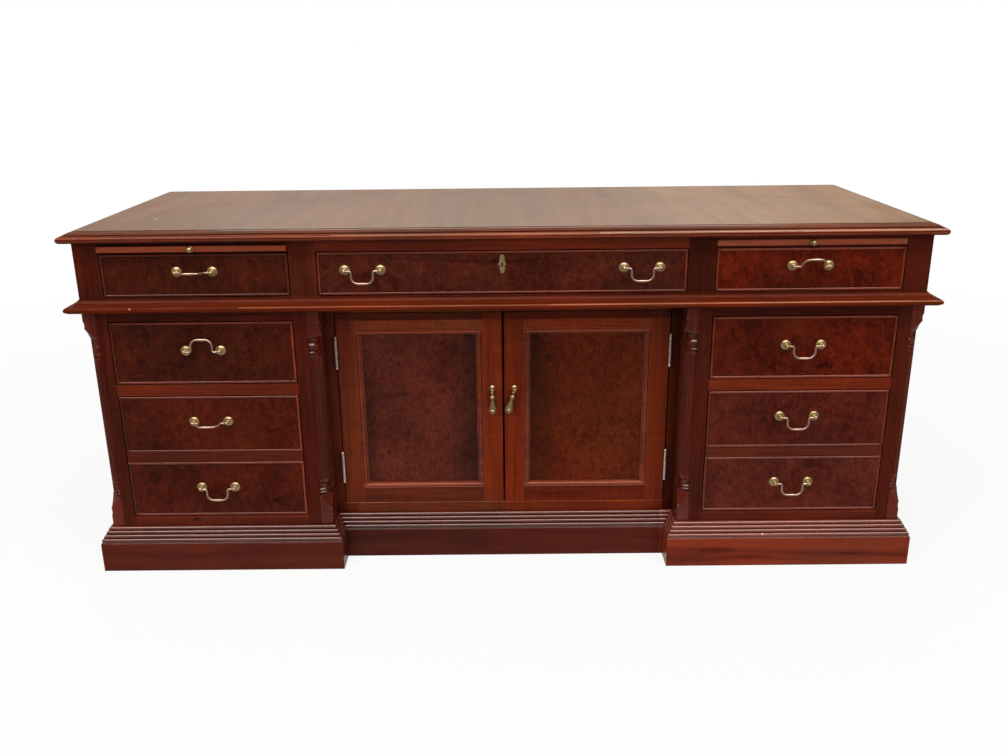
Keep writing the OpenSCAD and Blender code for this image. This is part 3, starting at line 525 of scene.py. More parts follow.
def surface(name: str, shine: Shine, paint: Callable[[Sheet, Socket], Skin]) -> bpy.types.Material:
    """Makes a material, or gives the one of that name.

    Args:
        name: the material's name.
        shine: the constants of its gloss.
        paint: lays the nodes that change over the surface.

    Returns:
        The material.
    """
    old = bpy.data.materials.get(name)
    if old:
        return old
    made = bpy.data.materials.new(name)
    made.use_nodes = True
    made.node_tree.nodes.clear()
    sheet = Sheet(made.node_tree)
    place = sheet.put("TexCoord").outputs["Object"]
    skin = paint(sheet, place)
    bump = {"Height": skin.height, "Strength": shine.bump, "Distance": 0.0006}
    if skin.normal is not None:
        bump["Normal"] = skin.normal
    normal = sheet.put("Bump", bump).outputs[0]
    shader = sheet.put("BsdfPrincipled", {
        "Base Color": skin.colour, "Roughness": skin.rough, "Normal": normal, "Metallic": shine.metal,
        "Specular IOR Level": shine.level, "Coat Weight": shine.coat, "Coat Roughness": shine.coat_rough})
    end = sheet.put("OutputMaterial")
    made.node_tree.links.new(shader.outputs[0], end.inputs[0])
    made.diffuse_color = (0.25, 0.08, 0.04, 1.0)
    return made


@dataclass(frozen=True)
class Tint:
    """A change of colour in one zone: the colour is multiplied by it."""

    zone: Mask
    colour: Colour


def tinted(sheet: Sheet, place: Socket, colour: Socket, tints: Sequence[Tint]) -> Socket:
    """Multiplies a colour in each tint's zone.

    Args:
        sheet: the material's tree.
        place: the object's own coordinates.
        colour: the colour to change.
        tints: the changes.

    Returns:
        The changed colour.
    """
    for tint in tints:
        colour = sheet.mix(tint.zone.mask(sheet, place), colour, sheet.mix(1.0, colour, tint.colour, "MULTIPLY"))
    return colour


def aged(sheet: Sheet, place: Socket, colour: Socket, amount: float = 0.5) -> Socket:
    """Lets a colour wander between redder and browner, as old polish does.

    Args:
        sheet: the material's tree.
        place: the object's own coordinates.
        colour: the colour to change.
        amount: how far it wanders.

    Returns:
        The changed colour.
    """
    wander = sheet.spread(sheet.noise(place, 4.5, 3.0, 0.4), 0.35, 0.65)
    shade = sheet.mix(wander, (0.72, 0.86, 0.95), (1.28, 1.02, 0.85))
    return sheet.mix(amount, colour, sheet.mix(1.0, colour, shade, "MULTIPLY"))


def darker(colour: Colour, share: float) -> Colour:
    """A colour at a share of its brightness."""
    return tuple(c * share for c in colour)


class Finish:
    """What all finishes share: a name, a shine and a way to paint."""

    name: str
    shine: Shine

    def paint(self, sheet: Sheet, place: Socket) -> Skin:
        """Lays the nodes of the finish and gives the sockets of the surface."""
        raise NotImplementedError

    def material(self) -> bpy.types.Material:
        """The finish as a material."""
        return surface(self.name, self.shine, self.paint)


@dataclass(frozen=True)
class Straight(Finish):
    """Straight grained mahogany under an old polish."""

    name: str
    dark: Colour
    light: Colour
    lay: Lay = Lay()
    ripple: float = 0.25
    ribbon: float = 0.5
    rubbed: float = 0.3
    worn: Colour = (0.36, 0.12, 0.05)
    # The share of painted shade from ambient occlusion in corners and gaps, and how far that shade reaches.
    corner_shade: float = 0.75
    reach: float = 0.01
    soft: bool = True
    tints: tuple[Tint, ...] = ()
    shine: Shine = Shine()

    def paint(self, sheet: Sheet, place: Socket) -> Skin:
        """Lays grain, ripple, wear and painted shade in the corners.

        Args:
            sheet: the material's tree.
            place: the object's own coordinates.

        Returns:
            The sockets of the surface.
        """
        grain = GRAIN.lay(sheet, Place=self.lay.turned(sheet, place), Ripple=self.ripple, Ribbon=self.ribbon)
        colour = sheet.mix(grain["Tone"], self.dark, self.light)
        colour = sheet.mix(sheet.times(grain["Pores"], 0.5), colour, darker(self.dark, 0.35))
        scuff = SCUFFS.lay(sheet, Place=place)
        wear = WEAR_AND_SHADE.lay(sheet, Place=place, Rubbed=self.rubbed, Reach=self.reach)
        colour = aged(sheet, place, colour)
        colour = sheet.mix(sheet.times(scuff["Scratch"], 0.25), colour, self.worn)
        colour = sheet.mix(wear["Edge"], colour, self.worn)
        # Painted shade: ambient occlusion darkens corners and gaps.
        colour = sheet.mix(sheet.times(wear["Corner"], self.corner_shade), colour, darker(self.dark, 0.2))
        colour = tinted(sheet, place, colour, self.tints)
        rough = sheet.spread(scuff["Cloud"], 0.3, 0.7, self.shine.rough - 0.05, self.shine.rough + 0.05)
        rough = sheet.plus(rough, sheet.times(wear["Edge"], 0.12))
        height = sheet.minus(grain["Height"], sheet.times(scuff["Scratch"], 0.5))
        return Skin(colour, rough, height, wear["Normal"] if self.soft else None)


@dataclass(frozen=True)
class Burled(Finish):
    """Burl veneer under an old polish."""

    name: str
    dark: Colour
    light: Colour
    eye: Colour = (0.012, 0.003, 0.002)
    eyes: float = 0.3
    flecks: float = 0.3
    tints: tuple[Tint, ...] = ()
    shine: Shine = Shine()

    def paint(self, sheet: Sheet, place: Socket) -> Skin:
        """Lays figure, eyes, wear and painted shade in the corners.

        Args:
            sheet: the material's tree.
            place: the object's own coordinates.

        Returns:
            The sockets of the surface.
        """
        burl = BURL.lay(sheet, Place=place, Eyes=self.eyes, Flecks=self.flecks)
        colour = sheet.mix(burl["Tone"], self.dark, self.light)
        colour = aged(sheet, place, sheet.mix(burl["Dots"], colour, self.eye), 0.6)
        scuff = SCUFFS.lay(sheet, Place=place)
        wear = WEAR_AND_SHADE.lay(sheet, Place=place, Rubbed=0.2)
        worn = (0.30, 0.11, 0.06)
        colour = sheet.mix(sheet.times(scuff["Scratch"], 0.3), colour, worn)
        colour = sheet.mix(wear["Edge"], colour, worn)
        # Painted shade: ambient occlusion darkens corners and gaps.
        colour = sheet.mix(sheet.times(wear["Corner"], 0.75), colour, darker(self.dark, 0.3))
        colour = tinted(sheet, place, colour, self.tints)
        rough = sheet.spread(scuff["Cloud"], 0.3, 0.7, self.shine.rough - 0.05, self.shine.rough + 0.08)
        return Skin(colour, rough, burl["Height"], wear["Normal"])


@dataclass(frozen=True)
class Metal(Finish):
    """Brass under old lacquer."""

    name: str
    bright: Colour
    dull: Colour
    tarnish: float = 0.6
    tints: tuple[Tint, ...] = ()
    shine: Shine = Shine(rough=0.24, level=0.5, bump=0.05, metal=0.8)

    def paint(self, sheet: Sheet, place: Socket) -> Skin:
        """Lays tarnish and fine scratches.

        Args:
            sheet: the material's tree.
            place: the object's own coordinates.

        Returns:
            The sockets of the surface.
        """
        marks = TARNISH.lay(sheet, Place=place, Amount=self.tarnish)
        colour = tinted(sheet, place, sheet.mix(marks["Patch"], self.bright, self.dull), self.tints)
        rough = sheet.plus(self.shine.rough, sheet.times(marks["Patch"], 0.3))
        rough = sheet.plus(rough, sheet.times(marks["Scratch"], 0.15))
        return Skin(colour, rough, sheet.plus(marks["Grain"], marks["Scratch"]))


@dataclass(frozen=True)
class Raw(Finish):
    """Unpolished timber of boxes, runners and backs."""

    name: str
    dark: Colour
    light: Colour
    lay: Lay = Lay()
    shine: Shine = Shine(rough=0.62, level=0.3, bump=0.25)

    def paint(self, sheet: Sheet, place: Socket) -> Skin:
        """Lays grain, grey dust and painted shade in the corners.

        Args:
            sheet: the material's tree.
            place: the object's own coordinates.

        Returns:
            The sockets of the surface.
        """
        grain = GRAIN.lay(sheet, Place=self.lay.turned(sheet, place), Ripple=0.05, Ribbon=0.6)
        colour = sheet.mix(grain["Tone"], self.dark, self.light)
        colour = sheet.mix(sheet.times(grain["Pores"], 0.4), colour, darker(self.dark, 0.4))
        stain = sheet.spread(sheet.noise(place, 5.0, 4.0, 0.6), 0.5, 0.75, 0.0, 0.4)
        colour = sheet.mix(stain, colour, darker(self.dark, 0.5))
        wear = WEAR_AND_SHADE.lay(sheet, Place=place, Rubbed=0.4)
        # Painted shade: ambient occlusion darkens corners and gaps.
        colour = sheet.mix(sheet.times(wear["Corner"], 0.6), colour, darker(self.dark, 0.3))
        rough = sheet.spread(grain["Tone"], 0.0, 1.0, self.shine.rough - 0.06, self.shine.rough + 0.08)
        return Skin(colour, rough, grain["Height"], wear["Normal"])


# ---------------------------------------------------------------- modelling by operators


class Bench:
    """Shapes pieces with the modelling operators."""

    @staticmethod
    def alone(piece: Piece | None = None) -> None:
        """Selects one piece and nothing else, or nothing at all."""
        bpy.ops.object.select_all(action="DESELECT")
        if piece:
            bpy.context.view_layer.objects.active = piece
            piece.select_set(True)

    @staticmethod
    def named(name: str) -> Piece:
        """Names the piece that was just added, and gives it back."""
        piece = bpy.context.active_object
        piece.name = piece.data.name = name
        return piece

    @staticmethod
    def closed() -> None:
        """Merges the doubles of the piece in edit mode and turns its faces outwards."""
        bpy.ops.mesh.select_all(action="SELECT")
        bpy.ops.mesh.remove_doubles(threshold=TOUCH)
        bpy.ops.mesh.normals_make_consistent(inside=False)

    @staticmethod
    @contextmanager
    def editing(piece: Piece) -> Iterator[None]:
        """Edit mode on one piece, with nothing else selected.

        Args:
            piece: the piece to edit.
        """
        Bench.alone(piece)
        bpy.ops.object.mode_set(mode="EDIT")
        yield
        bpy.ops.object.mode_set(mode="OBJECT")

    @staticmethod
    def turned(name: str, outline: Outline, sides: int = 24, ring: bool = False) -> Piece:
        """Turns a piece round Z from its outline.

        Args:
            name: the piece's name.
            outline: radius and height, from the foot to the tip, in millimetres.
            sides: how many sides it has.
            ring: leaves it hollow, and joins the last ring to the first.

        Returns:
            The piece, round the world's Z axis.
        """
        radius, height = outline[0]
        Bench.alone()
        bpy.ops.mesh.primitive_circle_add(vertices=sides, radius=radius * MM, location=(0, 0, height * MM),
                                          fill_type="NOTHING" if ring else "NGON")
        piece = Bench.named(name)
        with Bench.editing(piece):
            bpy.ops.mesh.select_all(action="SELECT")
            for wide, high in outline[1:]:
                step = {"value": (0, 0, (high - height) * MM)}
                if ring:
                    bpy.ops.mesh.extrude_edges_move(TRANSFORM_OT_translate=step)
                else:
                    bpy.ops.mesh.extrude_region_move(TRANSFORM_OT_translate=step)
                wide = max(wide, POINT_R)
                bpy.ops.transform.resize(value=(wide / radius, wide / radius, 1), center_override=(0, 0, high * MM))
                radius, height = wide, high
            if radius <= 5 * POINT_R:
                bpy.ops.mesh.merge(type="CENTER")
            Bench.closed()
        return piece

    @staticmethod
    def block(name: str, low: Place, high: Place) -> Piece:
        """A board between two corners, to be shaped further.

        Args:
            name: the piece's name.
            low: its lowest corner, in millimetres.
            high: its highest corner.

        Returns:
            The piece, with its place in its mesh.
        """
        centre = (Vector(low) + Vector(high)) * MM / 2
        Bench.alone()
        bpy.ops.mesh.primitive_cube_add(size=1.0, location=centre)
        piece = Bench.named(name)
        with Bench.editing(piece):
            bpy.ops.mesh.select_all(action="SELECT")
            bpy.ops.transform.resize(value=(Vector(high) - Vector(low)) * MM, center_override=centre)
        bpy.ops.object.transform_apply(location=True, rotation=True, scale=True)
        return piece

    @staticmethod
    def pick(piece: Piece, test: Callable[[Vector, Vector], bool], edges: bool = False) -> None:
        """Selects faces or edges in edit mode.

        Args:
            piece: the piece in edit mode.
            test: given a face's middle and normal, or an edge's two ends, all in millimetres but the normal.
            edges: picks edges instead of faces.
        """
        bpy.ops.mesh.select_mode(type="EDGE" if edges else "FACE")
        bpy.ops.mesh.select_all(action="DESELECT")
        shape = bmesh.from_edit_mesh(piece.data)
        for part in shape.edges if edges else shape.faces:
            if edges:
                chosen = test(part.verts[0].co / MM, part.verts[1].co / MM)
            else:
                chosen = test(part.calc_center_median() / MM, part.normal)
            part.select_set(chosen)
        bmesh.update_edit_mesh(piece.data)

    @staticmethod
    def step_in(steps: Iterable[tuple[float, float]]) -> None:
        """Insets the selected faces step by step: how far in and how far out, in millimetres."""
        for inward, outward in steps:
            bpy.ops.mesh.inset(thickness=inward * MM, depth=outward * MM)

    @staticmethod
    def cut(piece: Piece, point: Place, normal: Place) -> None:
        """Cuts the faces of a piece in edit mode along a plane through a point in millimetres."""
        bpy.ops.mesh.select_all(action="SELECT")
        bpy.ops.mesh.bisect(plane_co=Vector(point) * MM, plane_no=normal)

    @staticmethod
    def bored(piece: Piece, tool: Piece) -> None:
        """Cuts a tool's shape out of a piece.

        Args:
            piece: the piece to cut.
            tool: the shape that is cut out.
        """
        hole = piece.modifiers.new("hole", "BOOLEAN")
        hole.operation, hole.object, hole.solver = "DIFFERENCE", tool, "EXACT"
        Bench.alone(piece)
        bpy.ops.object.modifier_apply(modifier=hole.name)

    @staticmethod
    def settle(piece: Piece, matrix: Matrix = Matrix.Identity(4)) -> Piece:
        """Puts a piece in place, applies the place to its mesh, and shades its flatter edges smooth.

        Args:
            piece: the piece to place.
            matrix: where it goes from where it is.

        Returns:
            The same piece.
        """
        piece.matrix_world = matrix @ piece.matrix_world
        Bench.alone(piece)
        bpy.ops.object.transform_apply(location=True, rotation=True, scale=True)
        bpy.ops.object.shade_smooth_by_angle(angle=SMOOTH)
        return piece

    @staticmethod
    def copied(piece: Piece, name: str, matrix: Matrix) -> Piece:
        """A copy of a piece with its own mesh, moved.

        Args:
            piece: the piece to copy.
            name: the copy's name.
            matrix: where the copy goes from where the piece is.

        Returns:
            The copy.
        """
        made = piece.copy()
        made.data = piece.data.copy()
        made.name = made.data.name = name
        bpy.context.scene.collection.objects.link(made)
        made.data.transform(matrix)
        if matrix.determinant() < 0:
            made.data.flip_normals()
        return made

    @staticmethod
    def joined(name: str, pieces: Sequence[Piece]) -> Piece:
        """Several pieces as one.

        Args:
            name: the name of the whole.
            pieces: the pieces that it takes in.

        Returns:
            The whole.
        """
        bpy.ops.object.select_all(action="DESELECT")
        for piece in pieces:
            piece.select_set(True)
        bpy.context.view_layer.objects.active = pieces[0]
        bpy.ops.object.join()
        pieces[0].name = pieces[0].data.name = name
        return pieces[0]

    @staticmethod
    def removed(pieces: Iterable[Piece]) -> None:
        """Takes patterns away once their copies are made."""
        for piece in pieces:
            bpy.data.objects.remove(piece)


class Slot(Enum):
    """The kinds of material slot."""

    MAHOGANY = "mahogany"
    BURL = "burl_veneer"
    BRASS = "brass"


def half_round(radius: float, rise: float = 1.0, parts: int = 8) -> list[tuple[float, float]]:
    """The inset steps of a rounded bead.

    Args:
        radius: half the bead's width.
        rise: its height as a share of that.
        parts: how many faces it has.

    Returns:
        How far in and how far out each step goes.
    """
    turns = [math.pi * i / parts for i in range(parts + 1)]
    return [(radius * (math.cos(a) - math.cos(b)), radius * rise * (math.sin(b) - math.sin(a)))
            for a, b in zip(turns, turns[1:])]


def fit(piece: Piece, finish: Finish | tuple[Finish, ...], body: str, slot: Slot, *nodes: str) -> None:
    """Dresses a piece, hangs it on its body and hides the CAD nodes that it stands for.

    Args:
        piece: the new piece.
        finish: its finish, or several for its material slots in order.
        body: the body that it moves with.
        slot: not used.
        nodes: the CAD nodes that it stands for.
    """
    for each in finish if isinstance(finish, tuple) else (finish,):
        piece.data.materials.append(each.material())
    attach(piece, body)
    if nodes:
        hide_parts(*nodes)
    log.info("%s: %d faces, rides on %s%s", piece.name, len(piece.data.polygons), body,
             ", stands for " + ", ".join(nodes) if nodes else "")


def dress(finish: Finish, *nodes: str) -> None:
    """Gives CAD nodes a finish.

    Args:
        finish: the finish.
        nodes: the names of the nodes.
    """
    made = finish.material()
    for name in nodes:
        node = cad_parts[name]
        if not node.material_slots:
            node.data.materials.append(made)
        for place in node.material_slots:
            place.material = made
    log.info("%s on %s", finish.name, ", ".join(nodes))


# ---------------------------------------------------------------- studio


@dataclass(frozen=True)
class Camera:
    """The photograph's camera."""

    place: Place = (0.000336, -2.11858, 1.11060)
    yaw: float = -0.2114
    pitch: float = 17.18
    roll: float = -0.631
    focal_px: float = 905.02
    centre_px: tuple[float, float] = (499.86, 338.66)
    picture: tuple[int, int] = (1008, 756)

    def build(self) -> Piece:
        """Makes the camera the scene's camera and returns it."""
        yaw, pitch, roll = (math.radians(a) for a in (self.yaw, self.pitch, self.roll))
        fore = Vector((math.sin(yaw) * math.cos(pitch), math.cos(yaw) * math.cos(pitch), -math.sin(pitch)))
        right = Vector((math.cos(yaw), -math.sin(yaw), 0.0))
        up = right.cross(fore)
        right, up = right * math.cos(roll) + up * math.sin(roll), up * math.cos(roll) - right * math.sin(roll)
        data = bpy.data.cameras.new("camera")
        width, height = self.picture
        data.sensor_width = 36.0
        data.lens = self.focal_px / width * data.sensor_width
        data.shift_x = (width / 2 - self.centre_px[0]) / width
        data.shift_y = (self.centre_px[1] - height / 2) / width
        data.clip_start, data.clip_end = 0.05, 60.0
        made = bpy.data.objects.new("camera", data)
        bpy.context.scene.collection.objects.link(made)
        made.matrix_world = Matrix.Translation(self.place) @ Matrix((right, up, -fore)).transposed().to_4x4()
        bpy.context.scene.camera = made
        return made


@dataclass(frozen=True)
class Lamp:
    """A soft rectangular lamp."""

    name: str
    place: Place
    target: Place
    size: tuple[float, float]
    power: float
    colour: Colour = (1.0, 0.97, 0.93)
    glossy: bool = True

    def build(self) -> None:
        """Adds the lamp."""
        data = bpy.data.lights.new(self.name, "AREA")
        data.shape = "RECTANGLE"
        data.size, data.size_y = self.size
        data.energy, data.color = self.power, self.colour
        made = bpy.data.objects.new(self.name, data)
        made.visible_glossy = self.glossy
        bpy.context.scene.collection.objects.link(made)
        made.location = self.place
        made.rotation_mode = "QUATERNION"
        made.rotation_quaternion = (Vector(self.target) - Vector(self.place)).to_track_quat("-Z", "Y")


@dataclass(frozen=True)
class Studio:
    """Floor, world and lamps."""

    fill: float = 0.37
    front: float = 0.12
    skylight: float = 6.0
    wall: Colour = (0.62, 0.50, 0.40)
    lamps: tuple[Lamp, ...] = (
        Lamp("ceiling", (0.0, -1.35, 3.1), (0.0, -0.2, 0.5), (4.6, 0.5), 74.0),
        Lamp("key", (-2.1, -2.5, 2.3), (0.0, -0.2, 0.4), (1.1, 1.5), 34.0, glossy=False),
        Lamp("side", (2.6, -2.3, 1.9), (0.0, -0.2, 0.4), (1.0, 1.4), 20.0, glossy=False),
        Lamp("back", (0.0, 2.2, 2.4), (0.0, 0.2, 0.5), (3.0, 0.8), 26.0),
    )

    @staticmethod
    def rays(sheet: Sheet) -> tuple[Socket, Socket]:
        """Which rays see the background.

        Args:
            sheet: the tree of the world or the floor.

        Returns:
            1 for camera rays, and 1 for camera, glossy and transmission rays.
        """
        path = sheet.put("LightPath").outputs
        seen = sheet.any_of([path["Is Camera Ray"], path["Is Glossy Ray"], path["Is Transmission Ray"]])
        return path["Is Camera Ray"], seen

    @staticmethod
    def warm(level: float, green: float, blue: float) -> Colour:
        """A grey of one level with less green and blue in it."""
        return level, level * green, level * blue

    def build_world(self) -> None:
        """Makes the world: white for the camera, and for gloss a warm wall behind and a dim room with a skylight."""
        world = bpy.data.worlds.new("studio")
        world.use_nodes = True
        world.node_tree.nodes.clear()
        sheet = Sheet(world.node_tree)
        camera, seen = self.rays(sheet)
        x, y, z = sheet.parts(sheet.put("TexCoord").outputs["Generated"])
        room = sheet.mix(sheet.spread(z, 0.07, 0.13), WHITE, self.wall)
        behind = sheet.all_of([sheet.spread(y, 0.2, 0.55), sheet.spread(sheet.size(x), 0.38, 0.52, 1.0, 0.0)])
        room = sheet.mix(behind, self.warm(self.front, 0.94, 0.88), room)
        above = sheet.all_of([sheet.band(z, 0.62, 0.7, 0.9, 0.96), sheet.spread(y, -0.15, -0.3)])
        room = sheet.mix(above, room, self.warm(self.skylight, 0.93, 0.88))
        colour = sheet.mix(seen, self.warm(self.fill, 0.97, 0.94), room)
        colour = sheet.mix(camera, colour, WHITE)
        light = sheet.put("Background", {"Color": colour, "Strength": 1.0})
        world.node_tree.links.new(light.outputs[0], sheet.put("OutputWorld").inputs[0])
        bpy.context.scene.world = world

    def build_floor(self) -> None:
        """Makes the pale floor, white where the camera sees it, with the object's shadow on it."""
        Bench.alone()
        bpy.ops.mesh.primitive_plane_add(size=24.0, location=(0, 0, -0.0002))
        floor = Bench.named("floor")
        made = bpy.data.materials.new("floor")
        made.use_nodes = True
        made.node_tree.nodes.clear()
        sheet = Sheet(made.node_tree)
        camera, seen = self.rays(sheet)
        place = sheet.put("TexCoord").outputs["Object"]
        x, y, _ = sheet.parts(place)
        behind = sheet.all_of([sheet.spread(y, -0.6, -0.3), sheet.spread(sheet.size(x), 0.85, 1.0, 1.0, 0.0)])
        gloss = sheet.spread(behind, 0.0, 1.0, self.front, 1.0)
        white = sheet.sum("MAXIMUM", camera, gloss)
        share = sheet.times(seen, sheet.spread(sheet.far(place), 1.3, 3.2, 0.86, 1.0))
        diffuse = sheet.put("BsdfDiffuse", {"Color": (0.82, 0.82, 0.81)})
        glow = sheet.put("Emission", {"Color": WHITE, "Strength": white})
        both = sheet.put("MixShader", {0: share, 1: diffuse.outputs[0], 2: glow.outputs[0]})
        made.node_tree.links.new(both.outputs[0], sheet.put("OutputMaterial").inputs[0])
        floor.data.materials.append(made)

    def build(self) -> None:
        """Makes the whole studio."""
        self.build_world()
        self.build_floor()
        for lamp in self.lamps:
            lamp.build()
        bpy.context.scene.view_settings.view_transform = "Standard"


# ---------------------------------------------------------------- the object's finishes


def pair(colour: Colour, x: Span = WHOLE, z: Span = WHOLE) -> Tint:
    """A tint in a box of space and its mirror image."""
    return Tint(Zone(x, WHOLE, z), colour)


def side(colour: Colour, x: Span, z: Span = WHOLE, y: Span = WHOLE) -> Tint:
    """A tint in a box of space on one side."""
    return Tint(Zone(x, y, z, mirrored=False), colour)


def fade(colour: Colour, *band: float) -> Tint:
    """A tint in a soft band of x."""
    return Tint(Fade(*band), colour)


def mark(colour: Colour, place: Place, radius: float, long: float = 1.0) -> Tint:
    """A tint in a small ragged mark."""
    return Tint(Spot(place, radius, long), colour)


CHIP, SCRATCH = (6.0, 14.0, 26.0), (2.4, 2.8, 3.0)
CHIP_R, SCRATCH_R = 0.0022, 0.0009
SATIN, WAXED, BRIGHT = Shine(0.3, 0.1), Shine(0.14, 0.12), Shine(0.16, 0.8)
LEFT, RIGHT, RIGHT_BAY, PEDESTAL = (-1.0, 0.0), (0.0, 1.0), (0.36, 1.0), (0.4450, 0.8400)
DOOR, PANEL, LEFT_STILE, RIGHT_STILE = (0.0, 0.3683), (0.0455, 0.326), (-0.0455, 0.0), (0.0, 0.0455)
DOOR_Z, NOSE_HIGHLIGHT_Z, WAIST_HIGHLIGHT_Z = (0.1275, 0.6), (0.7684, 0.7710), (0.6192, 0.6214)
STILES = (Zone(x=(0.8402, 1.0)), Zone(x=(0.3882, 0.4448)))
RETURN = Lay(Axis.X, Axis.Y, (Mitre(0.892, FACE_Y),))

# Corner shade reaches 14 mm here, painting shade round the fronts. The right pedestal's rail under its top drawer is
# lighter, which is painted light from above. The knot mark is real.
FRAME_WOOD = Straight(
    "frame_mahogany", (0.028, 0.0026, 0.001), (0.090, 0.0125, 0.0045), Lay(where=STILES), corner_shade=0.9, reach=0.014,
    shine=SATIN,
    tints=(pair((2.1, 2.1, 1.7), PEDESTAL, (0.12, 0.5)), pair((1.35, 1.3, 1.2), PEDESTAL, (0.09, 0.12)),
           side((1.2, 1.15, 0.95), PEDESTAL, (0.40, 0.46)),
           mark((0.25, 0.4, 0.5), (-0.70, FACE_Y, 0.1163), 0.006, 1.8),
           pair((1.9, 2.0, 1.9), (0.0, 0.3875), (0.7312, 0.757)),
           pair((1.5, 1.6, 1.6), (0.0, 0.84), (0.6335, 0.6388)),
           side((1.25, 1.55, 1.5), (-0.4448, -0.3882), (0.634, 0.757)),
           side((0.72, 0.85, 0.8), (0.3882, 0.4448), (0.634, 0.757))))
CASE_WOOD = Straight("case_mahogany", (0.040, 0.006, 0.003), (0.11, 0.022, 0.009), Lay(Axis.Z), shine=SATIN)
# Painted light and shade on the top's moulding: a paler, pinker sheen on its upper slope, painted shade in its two
# grooves and under it, a lighter band over its bead, and a painted highlight along the bead, stronger towards the
# right. The chips are real.
EDGE_WOOD = Straight(
    "top_edge", (0.075, 0.012, 0.005), (0.20, 0.045, 0.02), Lay(Axis.X, Axis.Y, (Mitre(0.885, FACE_Y + 0.007),)),
    soft=False, shine=WAXED,
    tints=(pair((0.95, 1.7, 2.4), z=(0.7738, 0.785)), pair((0.3, 0.18, 0.22), z=(0.7722, 0.7740)),
           pair((1.2, 1.25, 1.0), z=(0.7662, 0.7726)), pair((0.38, 0.25, 0.25), z=(0.7646, 0.7663)),
           pair((0.5, 0.35, 0.35), z=(0.75, 0.7608)), side((1.5, 2.7, 4.0), (-0.35, 1.0), NOSE_HIGHLIGHT_Z),
           side((1.5, 2.2, 3.0), (0.2, 1.0), NOSE_HIGHLIGHT_Z), mark(CHIP, (0.037, -0.3, 0.7765), CHIP_R),
           mark(CHIP, (0.323, -0.3, 0.7776), CHIP_R)))
# Painted highlight along the waist's nose, from x -0.55 and stronger right of x 0.1. The chip is real.
WAIST_WOOD = Straight(
    "waist_mahogany", (0.058, 0.006, 0.0015), (0.150, 0.022, 0.006), RETURN, soft=False, shine=Shine(0.1, 0.03),
    tints=(side((2.2, 4.6, 7.5), (-0.55, 1.0), WAIST_HIGHLIGHT_Z), side((1.4, 1.9, 2.4), (0.10, 1.0), WAIST_HIGHLIGHT_Z),
           mark(CHIP, (-0.778, -0.2978, 0.6196), 0.0025)))
# Painted shade from ambient occlusion lies between the reeds, at a lower share.
BASE_WOOD = Straight(
    "base_mahogany", (0.048, 0.008, 0.0042), (0.145, 0.030, 0.014), RETURN, corner_shade=0.65, worn=(0.3, 0.14, 0.1),
    shine=BRIGHT,
    tints=(side((1.7, 2.0, 2.3), RIGHT_BAY), mark(CHIP, (0.5818, -0.2930, 0.0774), CHIP_R)))
PLINTH_WOOD = Straight(
    "plinth_mahogany", (0.042, 0.0045, 0.0016), (0.125, 0.018, 0.0065), RETURN, ripple=0.2, ribbon=0.75, shine=SATIN,
    tints=(side((1.9, 2.0, 1.8), RIGHT_BAY, y=(-1.0, 0.25)),
           mark((0.62, 0.5, 0.5), (0.475, -0.2967, 0.040), 0.009, 6.0),
           mark((0.7, 0.6, 0.6), (0.56, -0.2967, 0.022), 0.006, 9.0),
           mark((0.75, 0.6, 0.55), (0.79, -0.2967, 0.030), 0.007, 6.0)))
# Painted shadow in a band along the door tops under the waist, deepened by corner shade reaching 50 mm; painted shade
# on the cupboard frame's stiles beside the columns, darker on the right; a painted highlight on the bottom rail's top
# edge. The top rail's lower part is lighter and greyer, and the other tints are tones of the wood.
DOOR_WOOD = Straight(
    "door_mahogany", (0.060, 0.0065, 0.0014), (0.175, 0.028, 0.006),
    Lay(where=(Zone(x=RIGHT_STILE), Zone(x=(0.326, 0.40)))), ripple=0.5, corner_shade=0.85, reach=0.05, shine=SATIN,
    tints=(side((1.5, 1.1, 0.55), LEFT_STILE, DOOR_Z), side((1.2, 1.05, 0.9), RIGHT_STILE, DOOR_Z),
           pair((1.55, 1.65, 1.75), PANEL, (0.5475, 0.566)), pair((0.6, 0.5, 0.5), DOOR, (0.567, 0.584)),
           pair((0.85, 0.8, 0.85), PANEL, (0.1275, 0.1635)), side((0.98, 1.15, 1.5), LEFT),
           side((0.98, 0.82, 0.5), RIGHT), pair((4.0, 6.0, 10.0), DOOR, (0.1250, 0.1266)),
           side((0.4, 0.34, 0.34), (0.3690, 0.40)), side((0.8, 0.65, 0.75), (-0.40, -0.3690))))
SLIDE_WOOD = Straight(
    "slide_mahogany", (0.15, 0.027, 0.009), (0.32, 0.064, 0.024), shine=SATIN,
    tints=(side((1.2, 1.5, 2.1), (0.44, 1.0)),))
# Painted shade from ambient occlusion fills the flutes and the hollows between the rings.
COLUMN_WOOD = Straight(
    "column_mahogany", (0.038, 0.0035, 0.0012), (0.15, 0.020, 0.007), Lay(Axis.Z), corner_shade=1.0, reach=0.005,
    shine=Shine(0.15, 0.42))
# Painted reflection laid as bands of veneer leaf: a greener band in the middle, lighter to the right of x 0.33 and a
# little lighter at the left end.
TOP_WOOD = Straight(
    "top_veneer", (0.095, 0.038, 0.017), (0.205, 0.097, 0.050), Lay(Axis.Y), ripple=0.15,
    shine=Shine(0.34, 0.5, bump=0.04),
    tints=(fade((0.86, 1.0, 0.94), -0.20, -0.09, 0.05, 0.15), fade((1.48, 1.70, 1.55), 0.26, 0.40, 3.0, 4.0),
           fade((1.08, 1.10, 1.10), -4.0, -3.0, -0.76, -0.66),
           mark((5.0, 8.0, 12.0), (-0.765, -0.127, 0.78), 0.004, 1.5)))
